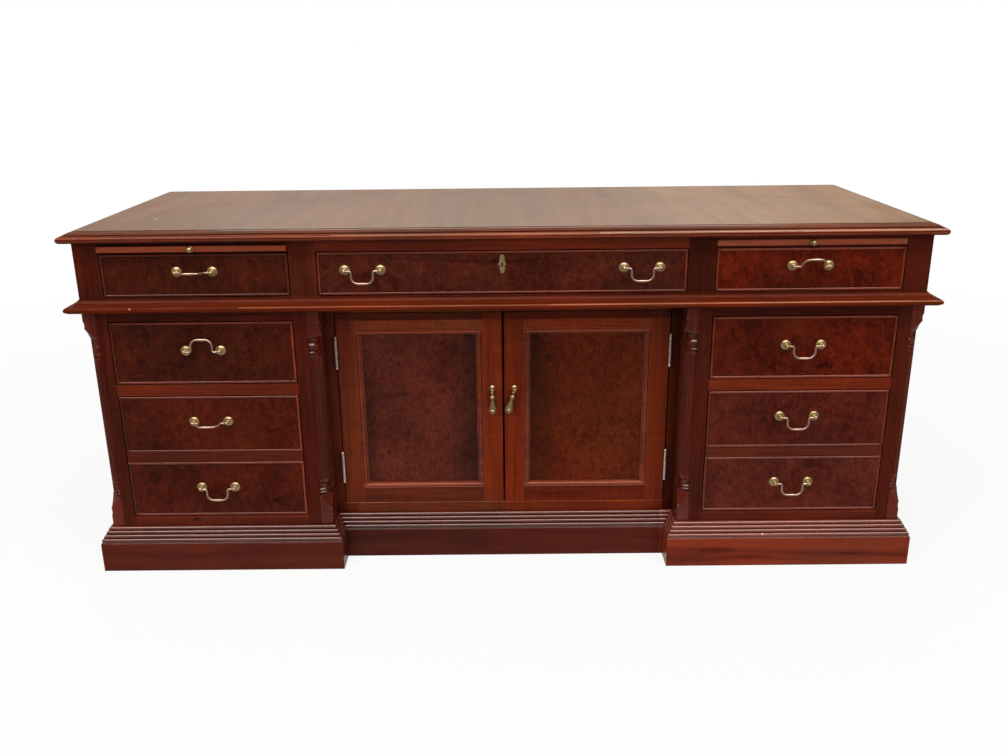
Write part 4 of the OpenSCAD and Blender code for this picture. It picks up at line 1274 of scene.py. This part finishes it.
# Painted light and shade on the beads: the left pedestal's left beads darker and its right beads lighter, the left
# frieze front's beads darker, and the right side's beads lighter and paler, as highlights.
BEAD_WOOD = Straight(
    "bead_mahogany", (0.080, 0.010, 0.004), (0.19, 0.034, 0.014), rubbed=0.15, soft=False, shine=Shine(0.17, 0.4),
    tints=(side((0.5, 0.45, 0.5), (-0.845, -0.830), (0.1, 0.6)), side((1.3, 1.2, 1.0), (-0.455, -0.440), (0.1, 0.6)),
           side((0.6, 0.7, 0.9), (-0.85, -0.44), (0.63, 0.74)), side((1.4, 1.8, 2.2), (0.455, 0.830), (0.1, 0.74))))
STRIP_WOOD = Straight(
    "strip_mahogany", (0.05, 0.006, 0.002), (0.12, 0.02, 0.008), shine=SATIN,
    tints=(side((1.4, 1.6, 1.7), RIGHT),))
# Painted highlight on the top and bottom lengths of the door mouldings, with painted shade from ambient occlusion in
# their corners.
MOULD_WOOD = Straight(
    "door_moulding", (0.09, 0.011, 0.004), (0.22, 0.040, 0.014), rubbed=0.15, corner_shade=0.9, soft=False,
    shine=Shine(0.15, 0.4),
    tints=(pair((1.5, 1.7, 1.8), z=(0.536, 0.55)), pair((1.5, 1.7, 1.8), z=(0.16, 0.1755))))
LEFT_BURL = Burled(
    "burl_left", (0.022, 0.0030, 0.0012), (0.095, 0.0135, 0.0045), eyes=0.45, shine=SATIN,
    tints=(pair((0.86, 0.9, 0.8), z=(0.42, 1.0)), pair((1.15, 0.98, 0.85), z=(0.0, 0.42)),
           mark(SCRATCH, (-0.513, FACE_Y, 0.676), SCRATCH_R, 12.0),
           mark(SCRATCH, (-0.782, FACE_Y, 0.464), SCRATCH_R, 12.0),
           mark(SCRATCH, (-0.735, FACE_Y, 0.482), 0.0008, 18.0)))
CENTRE_BURL = Burled("burl_centre", (0.024, 0.0036, 0.0016), (0.100, 0.018, 0.008), eyes=0.45, shine=SATIN)
RIGHT_BURL = Burled(
    "burl_right", (0.030, 0.0022, 0.0008), (0.150, 0.0180, 0.0040), eyes=0.6, shine=SATIN,
    tints=(pair((0.85, 0.68, 0.5), z=(0.42, 1.0)),))
RIGHT_FILE_BURL = Burled(
    "burl_right_file", (0.036, 0.0046, 0.0020), (0.125, 0.0185, 0.0085), eyes=0.35, shine=SATIN,
    tints=(pair((1.12, 1.25, 1.35), z=(0.0, 0.26)),))
PANEL_BURL = Burled(
    "burl_panel", (0.052, 0.0085, 0.003), (0.130, 0.024, 0.008), eyes=0.5, flecks=0.6, shine=SATIN,
    tints=(side((0.95, 1.0, 1.5), LEFT), side((1.08, 0.82, 0.4), RIGHT),
           fade((0.5, 0.62, 0.8), -0.13, -0.06, 0.075, 0.125), fade((0.65, 0.75, 0.8), -0.35, -0.32, -0.31, -0.275),
           mark((0.2, 0.3, 0.4), (0.2458, -0.2097, 0.327), 0.0035)))
BOX_WOOD = Raw("box_timber", (0.36, 0.22, 0.11), (0.58, 0.40, 0.23), Lay(Axis.Y))
BACK_WOOD = Raw("back_timber", (0.22, 0.105, 0.05), (0.37, 0.20, 0.10), Lay(Axis.Z))
BRASS = Metal(
    "pull_brass", (0.45, 0.32, 0.155), (0.13, 0.08, 0.025), 0.85, shine=Shine(0.28, 0.5, bump=0.05, metal=0.7))
DROP_BRASS = Metal(
    "drop_brass", (0.32, 0.235, 0.115), (0.10, 0.06, 0.02), 0.95, shine=Shine(0.3, 0.5, bump=0.05, metal=0.7))
ROD_BRASS = Metal(
    "rod_brass", (0.52, 0.35, 0.26), (0.20, 0.11, 0.06), 0.6, shine=Shine(0.28, 0.5, bump=0.05, metal=0.75))
HINGE_BRASS = Metal(
    "hinge_brass", (0.74, 0.58, 0.52), (0.22, 0.13, 0.09), 0.75, (pair((0.62, 0.58, 0.3), (0.0, 0.06)),))


# ---------------------------------------------------------------- sub-assemblies


@dataclass(frozen=True)
class Case:
    """Top, frieze, pedestals, cupboard, mouldings, columns and plinth."""

    def build(self) -> None:
        """Dresses the fixed nodes."""
        dress(TOP_WOOD, "top_board")
        dress(EDGE_WOOD, "top_moulding")
        dress(CASE_WOOD, "frieze_case", "pedestal_cases")
        dress(FRAME_WOOD, "frieze_frame", "pedestal_frames")
        dress(DOOR_WOOD, "cupboard_frame")
        dress(WAIST_WOOD, "waist_moulding")
        dress(BASE_WOOD, "base_moulding")
        dress(PLINTH_WOOD, "plinth")
        Column().build()
        dress(SLIDE_WOOD, "cupboard_shelf")
        dress(BACK_WOOD, "back_panels")
        dress(BOX_WOOD, "drawer_runners")
        dress(HINGE_BRASS, "shelf_pins", "frame_hinge_leaves")


@dataclass(frozen=True)
class Column:
    """A fluted quarter column between turned rings, with scooped stops and square ends, in its notch."""

    notch: float = 25.0
    floor: float = 102.0
    waist: float = 609.0
    low_tip: float = 144.0
    high_tip: float = 570.0
    flute_low: float = 209.0
    flute_high: float = 499.5
    shaft_r: float = 22.4
    flute_r: float = 2.3
    flutes: int = 5
    turning: Outline = (
        (17.0, 174.7), (19.2, 174.9), (20.5, 176.0), (20.9, 177.5), (20.4, 179.2), (18.8, 180.4), (18.6, 180.9),
        (20.0, 182.0), (20.9, 183.9), (20.2, 185.8), (18.4, 187.1), (17.1, 189.5), (16.9, 193.0), (17.5, 196.0),
        (18.8, 198.0), (20.6, 198.8), (21.4, 200.4), (20.7, 202.0), (19.2, 202.7), (19.2, 203.6), (22.4, 204.0),
        (22.4, 504.8), (19.4, 505.2), (19.4, 506.0), (20.8, 506.8), (21.4, 508.6), (21.1, 510.6), (19.6, 512.3),
        (18.1, 513.4), (18.0, 514.8), (19.6, 515.8), (20.8, 517.6), (20.9, 519.6), (19.9, 521.6), (19.7, 522.4),
        (20.8, 523.8), (21.2, 526.0), (20.3, 528.1), (18.4, 529.6), (17.3, 531.8), (17.1, 534.6), (17.6, 537.2),
        (18.6, 538.6), (20.3, 539.4), (21.0, 541.0), (20.3, 542.7), (18.8, 543.6), (18.0, 545.0))

    def core(self) -> Piece:
        """The turned quarter round the Z axis, on the side of -X and -Y, with its flutes cut."""
        piece = Bench.turned("column_core", self.turning, 64)
        r, low, high = self.flute_r, self.flute_low, self.flute_high
        ends = ((r * 0.25, 0.0), (r * 0.75, 0.8), (r, 2.5))
        groove = [(wide, low + step) for wide, step in ends] + [(wide, high - step) for wide, step in ends[::-1]]
        tools = []
        for i in range(self.flutes):
            way = math.radians(180 + 90 * (i + 0.5) / self.flutes)
            at = Matrix.Translation((self.shaft_r * math.cos(way) * MM, self.shaft_r * math.sin(way) * MM, 0))
            tools.append(Bench.settle(Bench.turned("flute", groove, 16), at))
        tool = Bench.joined("flutes", tools)
        Bench.bored(piece, tool)
        Bench.removed((tool,))
        with Bench.editing(piece):
            for way in ((1, 0, 0), (0, 1, 0)):
                bpy.ops.mesh.select_all(action="SELECT")
                bpy.ops.mesh.bisect(plane_co=(0, 0, 0), plane_no=way, use_fill=True, clear_outer=True)
        return piece

    def stop(self, end: float, tip: float, ring: float) -> Piece:
        """A square end whose outer arris is scooped away towards the rings.

        Args:
            end: height of its square end.
            tip: height where the long scoop starts.
            ring: height of the rings beside it.

        Returns:
            The stop, on the side of -X and -Y of the Z axis.
        """
        side = math.copysign(1.0, ring - tip)
        piece = Bench.block("stop", (-self.notch, -self.notch, min(end, ring)), (0, 0, max(end, ring)))
        shallow, deep, wide, small = 1.2, self.notch * math.sqrt(2) - 20.0, 70.0, 16.5
        rise, run = abs(ring - tip), deep - shallow
        chord = math.hypot(rise, run)
        lift = math.sqrt(wide ** 2 - chord ** 2 / 4)
        scoops = ((wide, (shallow + deep) / 2 - rise / chord * lift, (tip + ring) / 2 + side * run / chord * lift),
                  (small, 3.0 - small, tip - side * 7.0))
        for radius, depth, height in scoops:
            drum = Bench.turned("scoop", [(radius, -40), (radius, 40)], 96)
            along = (depth / math.sqrt(2) - self.notch) * MM
            at = Matrix.Translation((along, along, height * MM))
            Bench.settle(drum, at @ Matrix.Rotation(QUARTER, 4, (1, 1, 0)))
            Bench.bored(piece, drum)
            Bench.removed((drum,))
        return piece

    def build(self) -> None:
        """Models one column and copies it to the four corners."""
        low, high = self.turning[0][1], self.turning[-1][1]
        stops = [self.stop(self.floor, self.low_tip, low), self.stop(self.waist, self.high_tip, high)]
        column = Bench.joined("column", [self.core(), *stops])
        Bench.settle(column)
        for face in column.data.polygons:
            face.material_index = 0 if low + 0.1 < face.center.z / MM < high - 0.1 else 1
        inner = Matrix.Translation((0.391 + self.notch * MM, FACE_Y + self.notch * MM, 0))
        outer = Matrix.Translation((self.notch * MM - 0.892, FACE_Y + self.notch * MM, 0))
        made = [Bench.copied(column, "column_copy", at) for at in (inner, FLIP @ inner, outer, FLIP @ outer)]
        fit(Bench.joined("turned_columns", made), (COLUMN_WOOD, FRAME_WOOD), "case", Slot.MAHOGANY, "corner_columns")
        Bench.removed((column,))


@dataclass(frozen=True)
class Pull:
    """A bail pull: two roses with ball posts, and the bail that swings in them."""

    span: float = 75.0
    rose_r: float = 11.0
    out: float = 13.0
    ball_r: float = 4.0
    pin_r: float = 1.6
    rod_r: float = 2.0
    grip_r: float = 2.7
    drop: float = 27.0
    legs: float = 46.0
    shoulder_r: float = 4.0
    corner_r: float = 14.5

    def post(self) -> Piece:
        """One rose with its stem and bored ball, standing out of the front along -Y."""
        rose = [(11, 0), (11, 0.5), (10.7, 0.95), (10.1, 1.15), (9.6, 1.1), (9.3, 1.45), (8.6, 2.1), (7.4, 2.85),
                (5.9, 3.45), (4.6, 3.8), (3.8, 3.95), (3.3, 4.4), (2.75, 5.0), (2.5, 6.2), (2.5, 7.8), (2.9, 8.3),
                (3.0, 8.7), (2.8, 9.1), (2.6, 10.2)]
        rose = Bench.turned("rose", [(r * self.rose_r / 11, h) for r, h in rose], 32)
        bore = self.pin_r + 0.1
        first = math.acos(bore / self.ball_r)
        arc = [first * (-1 + i / 6) for i in range(1, 12)]
        end = self.ball_r * math.sin(first)
        arc = [(self.ball_r * math.cos(a), self.ball_r * math.sin(a)) for a in arc]
        ball = Bench.turned("ball", [(bore, -end), *arc, (bore, end), (bore, -end)], 24, ring=True)
        Bench.settle(rose, Matrix.Rotation(QUARTER, 4, "X"))
        Bench.settle(ball, Matrix.Translation((0, -self.out * MM, 0)) @ Matrix.Rotation(QUARTER, 4, "Y"))
        return Bench.joined("post", [rose, ball])

    def path(self) -> list[tuple[float, float, float, float]]:
        """One half of the bail from the middle of its grip: x, z, the way in degrees from +X, and the radius."""
        knee, arm = self.legs / 2, self.span / 2 - self.ball_r - 0.4
        grip, corner, shoulder = knee - self.corner_r, self.corner_r, self.shoulder_r
        thinner = ((0.0, 0.0), (2.5, 0.03), (5.0, 0.12), (7.5, 0.3), (9.0, 0.45))
        steps = [(x, -self.drop, 0.0, self.grip_r - less) for x, less in thinner]
        for i in range(9):
            a = math.radians(i * 90 / 8)
            x, z = grip + corner * math.sin(a), corner - self.drop - corner * math.cos(a)
            steps.append((x, z, math.degrees(a), self.rod_r))
        for i in range(7):
            a = math.radians(i * 90 / 6)
            x, z = knee + shoulder * (1 - math.cos(a)), shoulder * (math.sin(a) - 1)
            steps.append((x, z, 90 - math.degrees(a), self.rod_r))
        ends = ((arm - 1.9, self.rod_r), (arm - 1.6, 2.5), (arm - 0.5, 2.5), (arm - 0.1, 2.1), (arm, self.pin_r),
                (arm + self.ball_r + 1.6, self.pin_r), (arm + self.ball_r + 2.0, self.pin_r - 0.4))
        return steps + [(x, 0.0, 0.0, r) for x, r in ends]

    def bail(self) -> Piece:
        """The bail, hanging from the X axis."""
        steps = self.path()
        x, z, way, radius = steps[0]
        Bench.alone()
        bpy.ops.mesh.primitive_circle_add(vertices=16, radius=radius * MM, location=(x * MM, 0, z * MM),
                                          rotation=(0, QUARTER, 0), fill_type="NOTHING")
        piece = bpy.context.active_object
        with Bench.editing(piece):
            bpy.ops.mesh.select_all(action="SELECT")
            for nx, nz, turn, wide in steps[1:]:
                centre = (nx * MM, 0, nz * MM)
                bpy.ops.mesh.extrude_edges_move(TRANSFORM_OT_translate={"value": ((nx - x) * MM, 0, (nz - z) * MM)})
                if abs(turn - way) > 0.01:
                    bpy.ops.transform.rotate(value=math.radians(turn - way), orient_axis="Y", center_override=centre)
                if abs(wide - radius) > 1e-4:
                    share = wide / radius
                    bpy.ops.transform.resize(value=(share, share, share), center_override=centre)
                x, z, way, radius = nx, nz, turn, wide
            bpy.ops.mesh.edge_face_add()
        Bench.settle(piece)
        mirror = piece.modifiers.new("other_half", "MIRROR")
        mirror.use_axis = (True, False, False)
        mirror.merge_threshold = TOUCH
        bpy.ops.object.modifier_apply(modifier=mirror.name)
        with Bench.editing(piece):
            Bench.closed()
        return Bench.settle(piece)


@dataclass(frozen=True)
class Hang:
    """Where one pull goes: its bail's node, its drawer's body, its place and how far the bail is raised."""

    bail: str
    body: str
    x: float
    z: float
    raised: float = 0.0


@dataclass(frozen=True)
class Brasswork:
    """All the bail pulls, slide knobs and the lock."""

    hangs: tuple[Hang, ...] = (
        Hang("left_frieze_bail", "left_frieze_drawer", -BAY_X, 693.0, 98.0),
        Hang("centre_left_bail", "centre_frieze_drawer", -291.5, 693.0),
        Hang("centre_right_bail", "centre_frieze_drawer", 291.5, 693.0),
        Hang("right_frieze_bail", "right_frieze_drawer", BAY_X, 693.0, 134.0),
        Hang("left_drawer_bail", "left_drawer", -BAY_X, 520.0, 184.0),
        Hang("right_drawer_bail", "right_drawer", BAY_X, 520.0),
        Hang("left_upper_file_bail", "left_file_drawer", -BAY_X, 356.5, 94.0),
        Hang("left_lower_file_bail", "left_file_drawer", -BAY_X, 198.0),
        Hang("right_upper_file_bail", "right_file_drawer", BAY_X, 356.5),
        Hang("right_lower_file_bail", "right_file_drawer", BAY_X, 198.0),
    )

    knob_z: float = 742.0
    knob_scale: float = 1.15

    def build_pulls(self) -> None:
        """Copies the pull to its ten places."""
        pull = Pull()
        post, bail = pull.post(), pull.bail()
        posts: dict[str, list[Piece]] = {}
        for hang in self.hangs:
            at = Matrix.Translation((hang.x * MM, FACE_Y - pull.out * MM, hang.z * MM))
            made = Bench.copied(bail, hang.bail + "_rod", at @ Matrix.Rotation(math.radians(-hang.raised), 4, "X"))
            fit(made, ROD_BRASS, hang.bail, Slot.BRASS, hang.bail)
            for side in (-1, 1):
                at = Matrix.Translation(((hang.x + side * pull.span / 2) * MM, FACE_Y, hang.z * MM))
                posts.setdefault(hang.body, []).append(Bench.copied(post, "post_copy", at))
        for body, made in posts.items():
            stem = body if body in ("left_drawer", "right_drawer") else body.removesuffix("_drawer")
            fit(Bench.joined(stem + "_roses", made), BRASS, body, Slot.BRASS, stem + "_posts")
        Bench.removed((post, bail))

    def build_knobs(self) -> None:
        """Turns one slide knob and copies it to both slides."""
        outline = [(5.2, 0), (5.2, 0.8), (4.8, 1.3), (4.0, 1.6), (3.0, 2.1), (2.4, 3.0), (2.2, 4.6), (2.5, 5.6),
                   (3.0, 6.0), (3.0, 6.5), (2.8, 6.8), (3.9, 7.4), (4.7, 8.3), (5.15, 9.6), (5.1, 10.8), (4.7, 12.1),
                   (3.9, 13.4), (2.8, 14.3), (1.5, 14.85), (0, 15.0)]
        knob = Bench.turned("knob", [(r * self.knob_scale, h) for r, h in outline], 28)
        Bench.settle(knob, Matrix.Rotation(QUARTER, 4, "X"))
        for side, x, out in (("left", -BAY_X, SLIDE_OUT), ("right", BAY_X, 0.0)):
            at = Matrix.Translation((x * MM, FACE_Y - out * MM, self.knob_z * MM))
            fit(Bench.copied(knob, side + "_turned_knob", at), BRASS, side + "_slide", Slot.BRASS, side + "_slide_knob")
        Bench.removed((knob,))

    def build(self) -> None:
        """Builds the brass of the drawers and slides."""
        self.build_pulls()
        self.build_knobs()
        dress(BRASS, "centre_lock")


@dataclass(frozen=True)
class Front:
    """A veneered drawer front edged with mitred cock beads."""

    width: float
    height: float
    thick: float = 20.0
    bead_r: float = 2.6
    rise: float = 0.7
    gap: float = 1.3
    ease: float = 0.6

    def corners(self, x: float, z: float) -> tuple[Place, Place]:
        """The lowest and highest corner of the front, in an opening whose middle and bottom are given."""
        reach, bottom = self.width / 2 - self.ease, z + self.gap
        return ((x - reach, FACE_Y / MM, bottom + self.ease),
                (x + reach, FACE_Y / MM + self.thick, bottom + self.height - self.ease))

    def edge(self) -> list[tuple[float, float]]:
        """The steps of the bead and of the fine groove inside it."""
        return half_round(self.bead_r, self.rise) + [(0.12, -0.7), (0.55, 0.0), (0.2, 0.66)]

    def plain(self, name: str, x: float, z: float) -> Piece:
        """A front with one face.

        Args:
            name: the piece's name.
            x: its middle, in millimetres.
            z: the bottom of its opening.

        Returns:
            The front.
        """
        fore = FACE_Y / MM
        low, high = self.corners(x, z)
        piece = Bench.block(name, low, high)
        with Bench.editing(piece):
            Bench.pick(piece, lambda at, way: way.y < -FACING)
            Bench.step_in(self.edge())
            Bench.pick(piece, lambda a, b: min(a.y, b.y) > fore + self.thick - 0.1, edges=True)
            bpy.ops.mesh.bevel(offset=0.8 * MM, segments=2)
        self.sort(piece, low, high, [(low[2], high[2])])
        return Bench.settle(piece)

    def double(self, name: str, x: float, z: float, low_h: float, high_h: float) -> Piece:
        """A front faced as two drawers with a strip between them.

        Args:
            name: the piece's name.
            x: its middle, in millimetres.
            z: the bottom of its opening.
            low_h: height of the lower face.
            high_h: height of the upper face.

        Returns:
            The front.
        """
        fore = FACE_Y / MM
        low, high = self.corners(x, z)
        faces = [(low[2], low[2] + low_h), (high[2] - high_h, high[2])]
        piece = Bench.block(name, low, high)
        with Bench.editing(piece):
            Bench.cut(piece, (0, 0, faces[0][1]), (0, 0, 1))
            Bench.cut(piece, (0, 0, faces[1][0]), (0, 0, 1))
            for bottom, top in faces:
                Bench.pick(piece, lambda at, way: way.y < -FACING and bottom < at.z < top)
                Bench.step_in(self.edge())
            Bench.pick(piece, lambda at, way: way.y < -FACING and abs(at.y - fore) < 0.01
                       and faces[0][1] < at.z < faces[1][0])
            Bench.step_in([(0.6, -0.6), (0.6, 0.6)])
        self.sort(piece, low, high, faces)
        return Bench.settle(piece)

    def sort(self, piece: Piece, low: Place, high: Place, faces: Sequence[tuple[float, float]]) -> None:
        """Sorts a front's faces: the veneer in slot 0, beads and edges in slot 1, and a strip in slot 2.

        Args:
            piece: the front.
            low: its lowest corner.
            high: its highest corner.
            faces: bottom and top of each veneered face.
        """
        inner = self.bead_r * 2 + 0.2
        for face in piece.data.polygons:
            at = face.center / MM
            field = (low[0] + inner < at.x < high[0] - inner
                     and any(bottom + inner < at.z < top - inner for bottom, top in faces))
            strip = not any(bottom < at.z < top for bottom, top in faces)
            face.material_index = 1 if face.normal.y > -0.3 else 0 if field else 2 if strip else 1


@dataclass(frozen=True)
class Drawers:
    """Fronts, boxes and writing slides."""

    side_w: float = 392.4
    centre_w: float = 773.4
    frieze_h: float = 92.4
    drawer_h: float = 139.4
    file_h: float = 288.4
    frieze_z: float = 637.5
    drawer_z: float = 443.0
    file_z: float = 126.0
    file_faces: tuple[float, float] = (130.7, 131.7)

    def build(self) -> None:
        """Builds the fronts and dresses the rest."""
        for (side, sign), burl, low_burl in zip(SIDES, (LEFT_BURL, RIGHT_BURL), (LEFT_BURL, RIGHT_FILE_BURL)):
            finish, low = (burl, BEAD_WOOD, STRIP_WOOD), (low_burl, BEAD_WOOD, STRIP_WOOD)
            x = sign * BAY_X
            front = Front(self.side_w, self.frieze_h).plain(side + "_frieze_veneer", x, self.frieze_z)
            fit(front, finish, side + "_frieze_drawer", Slot.BURL, side + "_frieze_front")
            front = Front(self.side_w, self.drawer_h).plain(side + "_drawer_veneer", x, self.drawer_z)
            fit(front, finish, side + "_drawer", Slot.BURL, side + "_drawer_front")
            front = Front(self.side_w, self.file_h).double(side + "_file_veneer", x, self.file_z, *self.file_faces)
            fit(front, low, side + "_file_drawer", Slot.BURL, side + "_file_front")
        front = Front(self.centre_w, self.frieze_h).plain("centre_frieze_veneer", 0.0, self.frieze_z)
        self.bore_keyhole(front)
        fit(front, (CENTRE_BURL, BEAD_WOOD), "centre_frieze_drawer", Slot.BURL, "centre_frieze_front")
        self.slide("left", -BAY_X, SLIDE_OUT)
        self.slide("right", BAY_X, 0.0)
        boxes = [f"{side}_{name}_box" for name in ("frieze", "drawer", "file") for side, _ in SIDES]
        dress(BOX_WOOD, "centre_frieze_box", *boxes)

    @staticmethod
    def slide(side: str, x: float, out: float) -> None:
        """Models a writing slide: a board with soft edges and a veneered field let into its top.

        Args:
            side: left or right.
            x: its middle, in millimetres.
            out: how far it stands out of the frame at rest.
        """
        fore = FACE_Y / MM - out
        half, deep, bottom, top = 196.2, 420.0, 735.9, 748.1
        piece = Bench.block(side + "_slide_board", (x - half, fore, bottom), (x + half, fore + deep, top))
        with Bench.editing(piece):
            Bench.pick(piece, lambda at, way: way.z > FACING)
            Bench.step_in([(22.0, 0.0), (0.3, -0.5), (0.7, 0.0), (0.3, 0.3)])
            Bench.pick(piece, lambda a, b: max(a.y, b.y) < fore + 0.1, edges=True)
            bpy.ops.mesh.bevel(offset=0.9 * MM, segments=3)
        for face in piece.data.polygons:
            face.material_index = 1 if face.normal.z > 0.9 and face.area > 0.1 else 0
        Bench.settle(piece)
        fit(piece, (SLIDE_WOOD, TOP_WOOD), side + "_slide", Slot.MAHOGANY, side + "_writing_slide")

    @staticmethod
    def bore_keyhole(front: Piece) -> None:
        """Cuts the keyhole through a front."""
        fore, height, width, eye_r, long, over = FACE_Y / MM, 703.0, 2.2, 2.2, 6.6, 5.0
        tool = Bench.block("keyhole", (-width / 2, fore - over, height - long), (width / 2, fore + 25, height))
        hole = Bench.settle(Bench.turned("keyhole_top", [(eye_r, -over), (eye_r, 25)], 24),
                            Matrix.Translation((0, FACE_Y + 20 * MM, height * MM)) @ Matrix.Rotation(QUARTER, 4, "X"))
        Bench.bored(front, tool)
        Bench.bored(front, hole)
        Bench.removed((tool, hole))


@dataclass(frozen=True)
class Doors:
    """The pair of doors with their hinges and drop pulls."""

    inner: float = 2.1
    width: float = 365.0
    bottom: float = 127.5
    height: float = 456.0
    meeting: float = 43.2
    stile: float = 41.0
    rail: float = 36.0
    thick: float = 20.0
    deep: float = 6.0
    lean: float = 15.0
    button_x: float = 24.8
    button_y: float = 46.0
    button_z: float = 406.5
    bead_r: float = 1.6
    roll_r: float = 3.4
    roll_x: float = 6.8
    roll_y: float = -0.8

    def moulding(self) -> list[tuple[float, float]]:
        """The steps from the frame's face over the bead and the main roll down to the panel."""
        roll = [math.radians(a) for a in (166, 150, 130, 110, 90, 70, 50, 30, 12, 0)]
        steps = half_round(self.bead_r) + [(0.15, -0.9)]
        at = (self.roll_x - self.roll_r, self.roll_y)
        for a in roll:
            to = (self.roll_x + self.roll_r * math.cos(a), self.roll_y + self.roll_r * math.sin(a))
            if to[0] > at[0]:
                steps.append((to[0] - at[0], to[1] - at[1]))
                at = to
        return steps + [(0.15, -0.9), (0.5, -0.7), (0.9, -0.3), (1.2, -0.05), (0.05, -1.5), (1.9, 0.0)]

    def frame(self, name: str) -> Piece:
        """The right door's frame with its moulding, open where the panel goes."""
        fore = FACE_Y / MM + RECESS / MM
        low = (self.inner, fore, self.bottom)
        high = (self.inner + self.width, fore + self.thick, self.bottom + self.height)
        piece = Bench.block(name, low, high)
        left, right = low[0] + self.meeting, high[0] - self.stile
        down, up = low[2] + self.rail, high[2] - self.rail

        def inside(at: Vector) -> bool:
            """True within the panel's opening."""
            return left < at.x < right and down < at.z < up

        def middle(at: Vector) -> bool:
            """True at the middle of the panel's opening, behind the moulding or on the back."""
            near = 9.0
            behind = at.y > fore + self.thick - 1
            return abs(at.z - (down + up) / 2) < near and (behind or abs(at.x - (left + right) / 2) < near)

        with Bench.editing(piece):
            for x in (left, right):
                Bench.cut(piece, (x, 0, 0), (1, 0, 0))
            for z in (down, up):
                Bench.cut(piece, (0, 0, z), (0, 0, 1))
            Bench.pick(piece, lambda at, way: way.y < -FACING and inside(at))
            Bench.step_in(self.moulding())
            Bench.pick(piece, lambda at, way: abs(way.y) > FACING and inside(at) and middle(at))
            bpy.ops.mesh.bridge_edge_loops()
            Bench.pick(piece, lambda a, b: max(a.x, b.x) < low[0] + 0.1 and abs(a.y - b.y) < 0.1, edges=True)
            bpy.ops.mesh.bevel(offset=1.2 * MM, segments=3)
        for face in piece.data.polygons:
            at = face.center / MM
            face.material_index = 1 if inside(at) and at.y < fore + 7 else 0
        return piece

    def panel(self, name: str) -> Piece:
        """The right door's panel: a veneered sheet with a soft edge, let into the frame behind the moulding."""
        fore, play = FACE_Y / MM + RECESS / MM + self.deep, 0.05
        low = (self.inner + self.meeting + play, fore, self.bottom + self.rail + play)
        high = (self.inner + self.width - self.stile - play, fore + self.thick - self.deep,
                self.bottom + self.height - self.rail - play)
        piece = Bench.block(name, low, high)
        with Bench.editing(piece):
            Bench.pick(piece, lambda at, way: way.y < -FACING)
            Bench.step_in([(14.6, 0.0), (0.6, 0.12), (1.0, 0.03)])
            Bench.pick(piece, lambda at, way: way.y > FACING)
            Bench.step_in([(3.0, 0.0), (1.5, -1.0)])
        return piece

    def build(self) -> None:
        """Models the right door's wood, mirrors it, and dresses hinges and drops."""
        frame_piece, panel = self.frame("right_door_joinery"), self.panel("right_door_veneer")
        parts = ((frame_piece, (DOOR_WOOD, MOULD_WOOD), Slot.MAHOGANY, "_door_frame"),
                 (panel, PANEL_BURL, Slot.BURL, "_door_panel"))
        for side, sign in SIDES:
            for piece, finish, slot, node in parts:
                made = piece if side == "right" else Bench.copied(piece, piece.name.replace("right", "left"), FLIP)
                Bench.settle(made)
                fit(made, finish, side + "_door", slot, side + node)
            dress(HINGE_BRASS, side + "_door_brass")
            self.drop(side, sign, 0.0 if side == "left" else self.lean)

    def drop(self, side: str, sign: int, lean: float) -> None:
        """Turns a pear drop and its ring, and hangs it on the door's button.

        Args:
            side: left or right.
            sign: -1 on the left, 1 on the right.
            lean: how far it leans towards the other door, in degrees.
        """
        outline = [(1.3, -59.6), (2.1, -58.8), (2.2, -58.0), (1.8, -57.4), (3.8, -56.7), (6.6, -55.5), (8.2, -53.6),
                   (8.9, -51.0), (8.9, -48.2), (8.4, -45.2), (7.5, -41.6), (6.3, -37.0), (5.0, -32.0), (3.9, -27.8),
                   (3.1, -25.0), (2.9, -23.6), (3.6, -22.8), (3.7, -22.2), (4.8, -21.2), (5.7, -19.4), (5.8, -17.6),
                   (5.1, -15.6), (3.7, -14.4), (2.6, -13.8), (1.9, -12.6), (1.8, -9.8), (2.5, -8.9), (3.5, -7.9),
                   (3.7, -6.6), (2.8, -5.3), (1.7, -4.4)]
        pear = Bench.settle(Bench.turned("pear", outline, 28))
        turns = [math.radians(a) for a in range(6, 180, 12)]
        boss = [(6 * math.sin(a), -6 * math.cos(a)) for a in turns]
        boss = Bench.settle(Bench.turned("drop_boss", boss, 24), Matrix.Translation((0, -5.8 * MM, -49.6 * MM)))
        bore = [(2.1, -1.1), (2.5, -1.25), (3.6, -1.25), (4.3, -1.0), (4.6, -0.5), (4.6, 0.5), (4.3, 1.0),
                (3.6, 1.25), (2.5, 1.25), (2.1, 1.1), (2.1, -1.1)]
        ring = Bench.settle(Bench.turned("drop_ring", bore, 28, ring=True), Matrix.Rotation(QUARTER, 4, "X"))
        piece = Bench.joined(side + "_pear_drop", [pear, boss, ring])
        at = Matrix.Translation((sign * self.button_x * MM, FACE_Y + self.button_y * MM, self.button_z * MM))
        Bench.settle(piece, at @ Matrix.Rotation(math.radians(lean), 4, "Y"))
        fit(piece, DROP_BRASS, side + "_drop", Slot.BRASS, side + "_drop_pull")


def main() -> None:
    """Builds the scene in order."""
    logging.basicConfig(level=logging.INFO, format="%(message)s")
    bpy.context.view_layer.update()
    Camera().build()
    Studio().build()
    Case().build()
    Drawers().build()
    Doors().build()
    Brasswork().build()


if __name__ == "__main__":
    main()
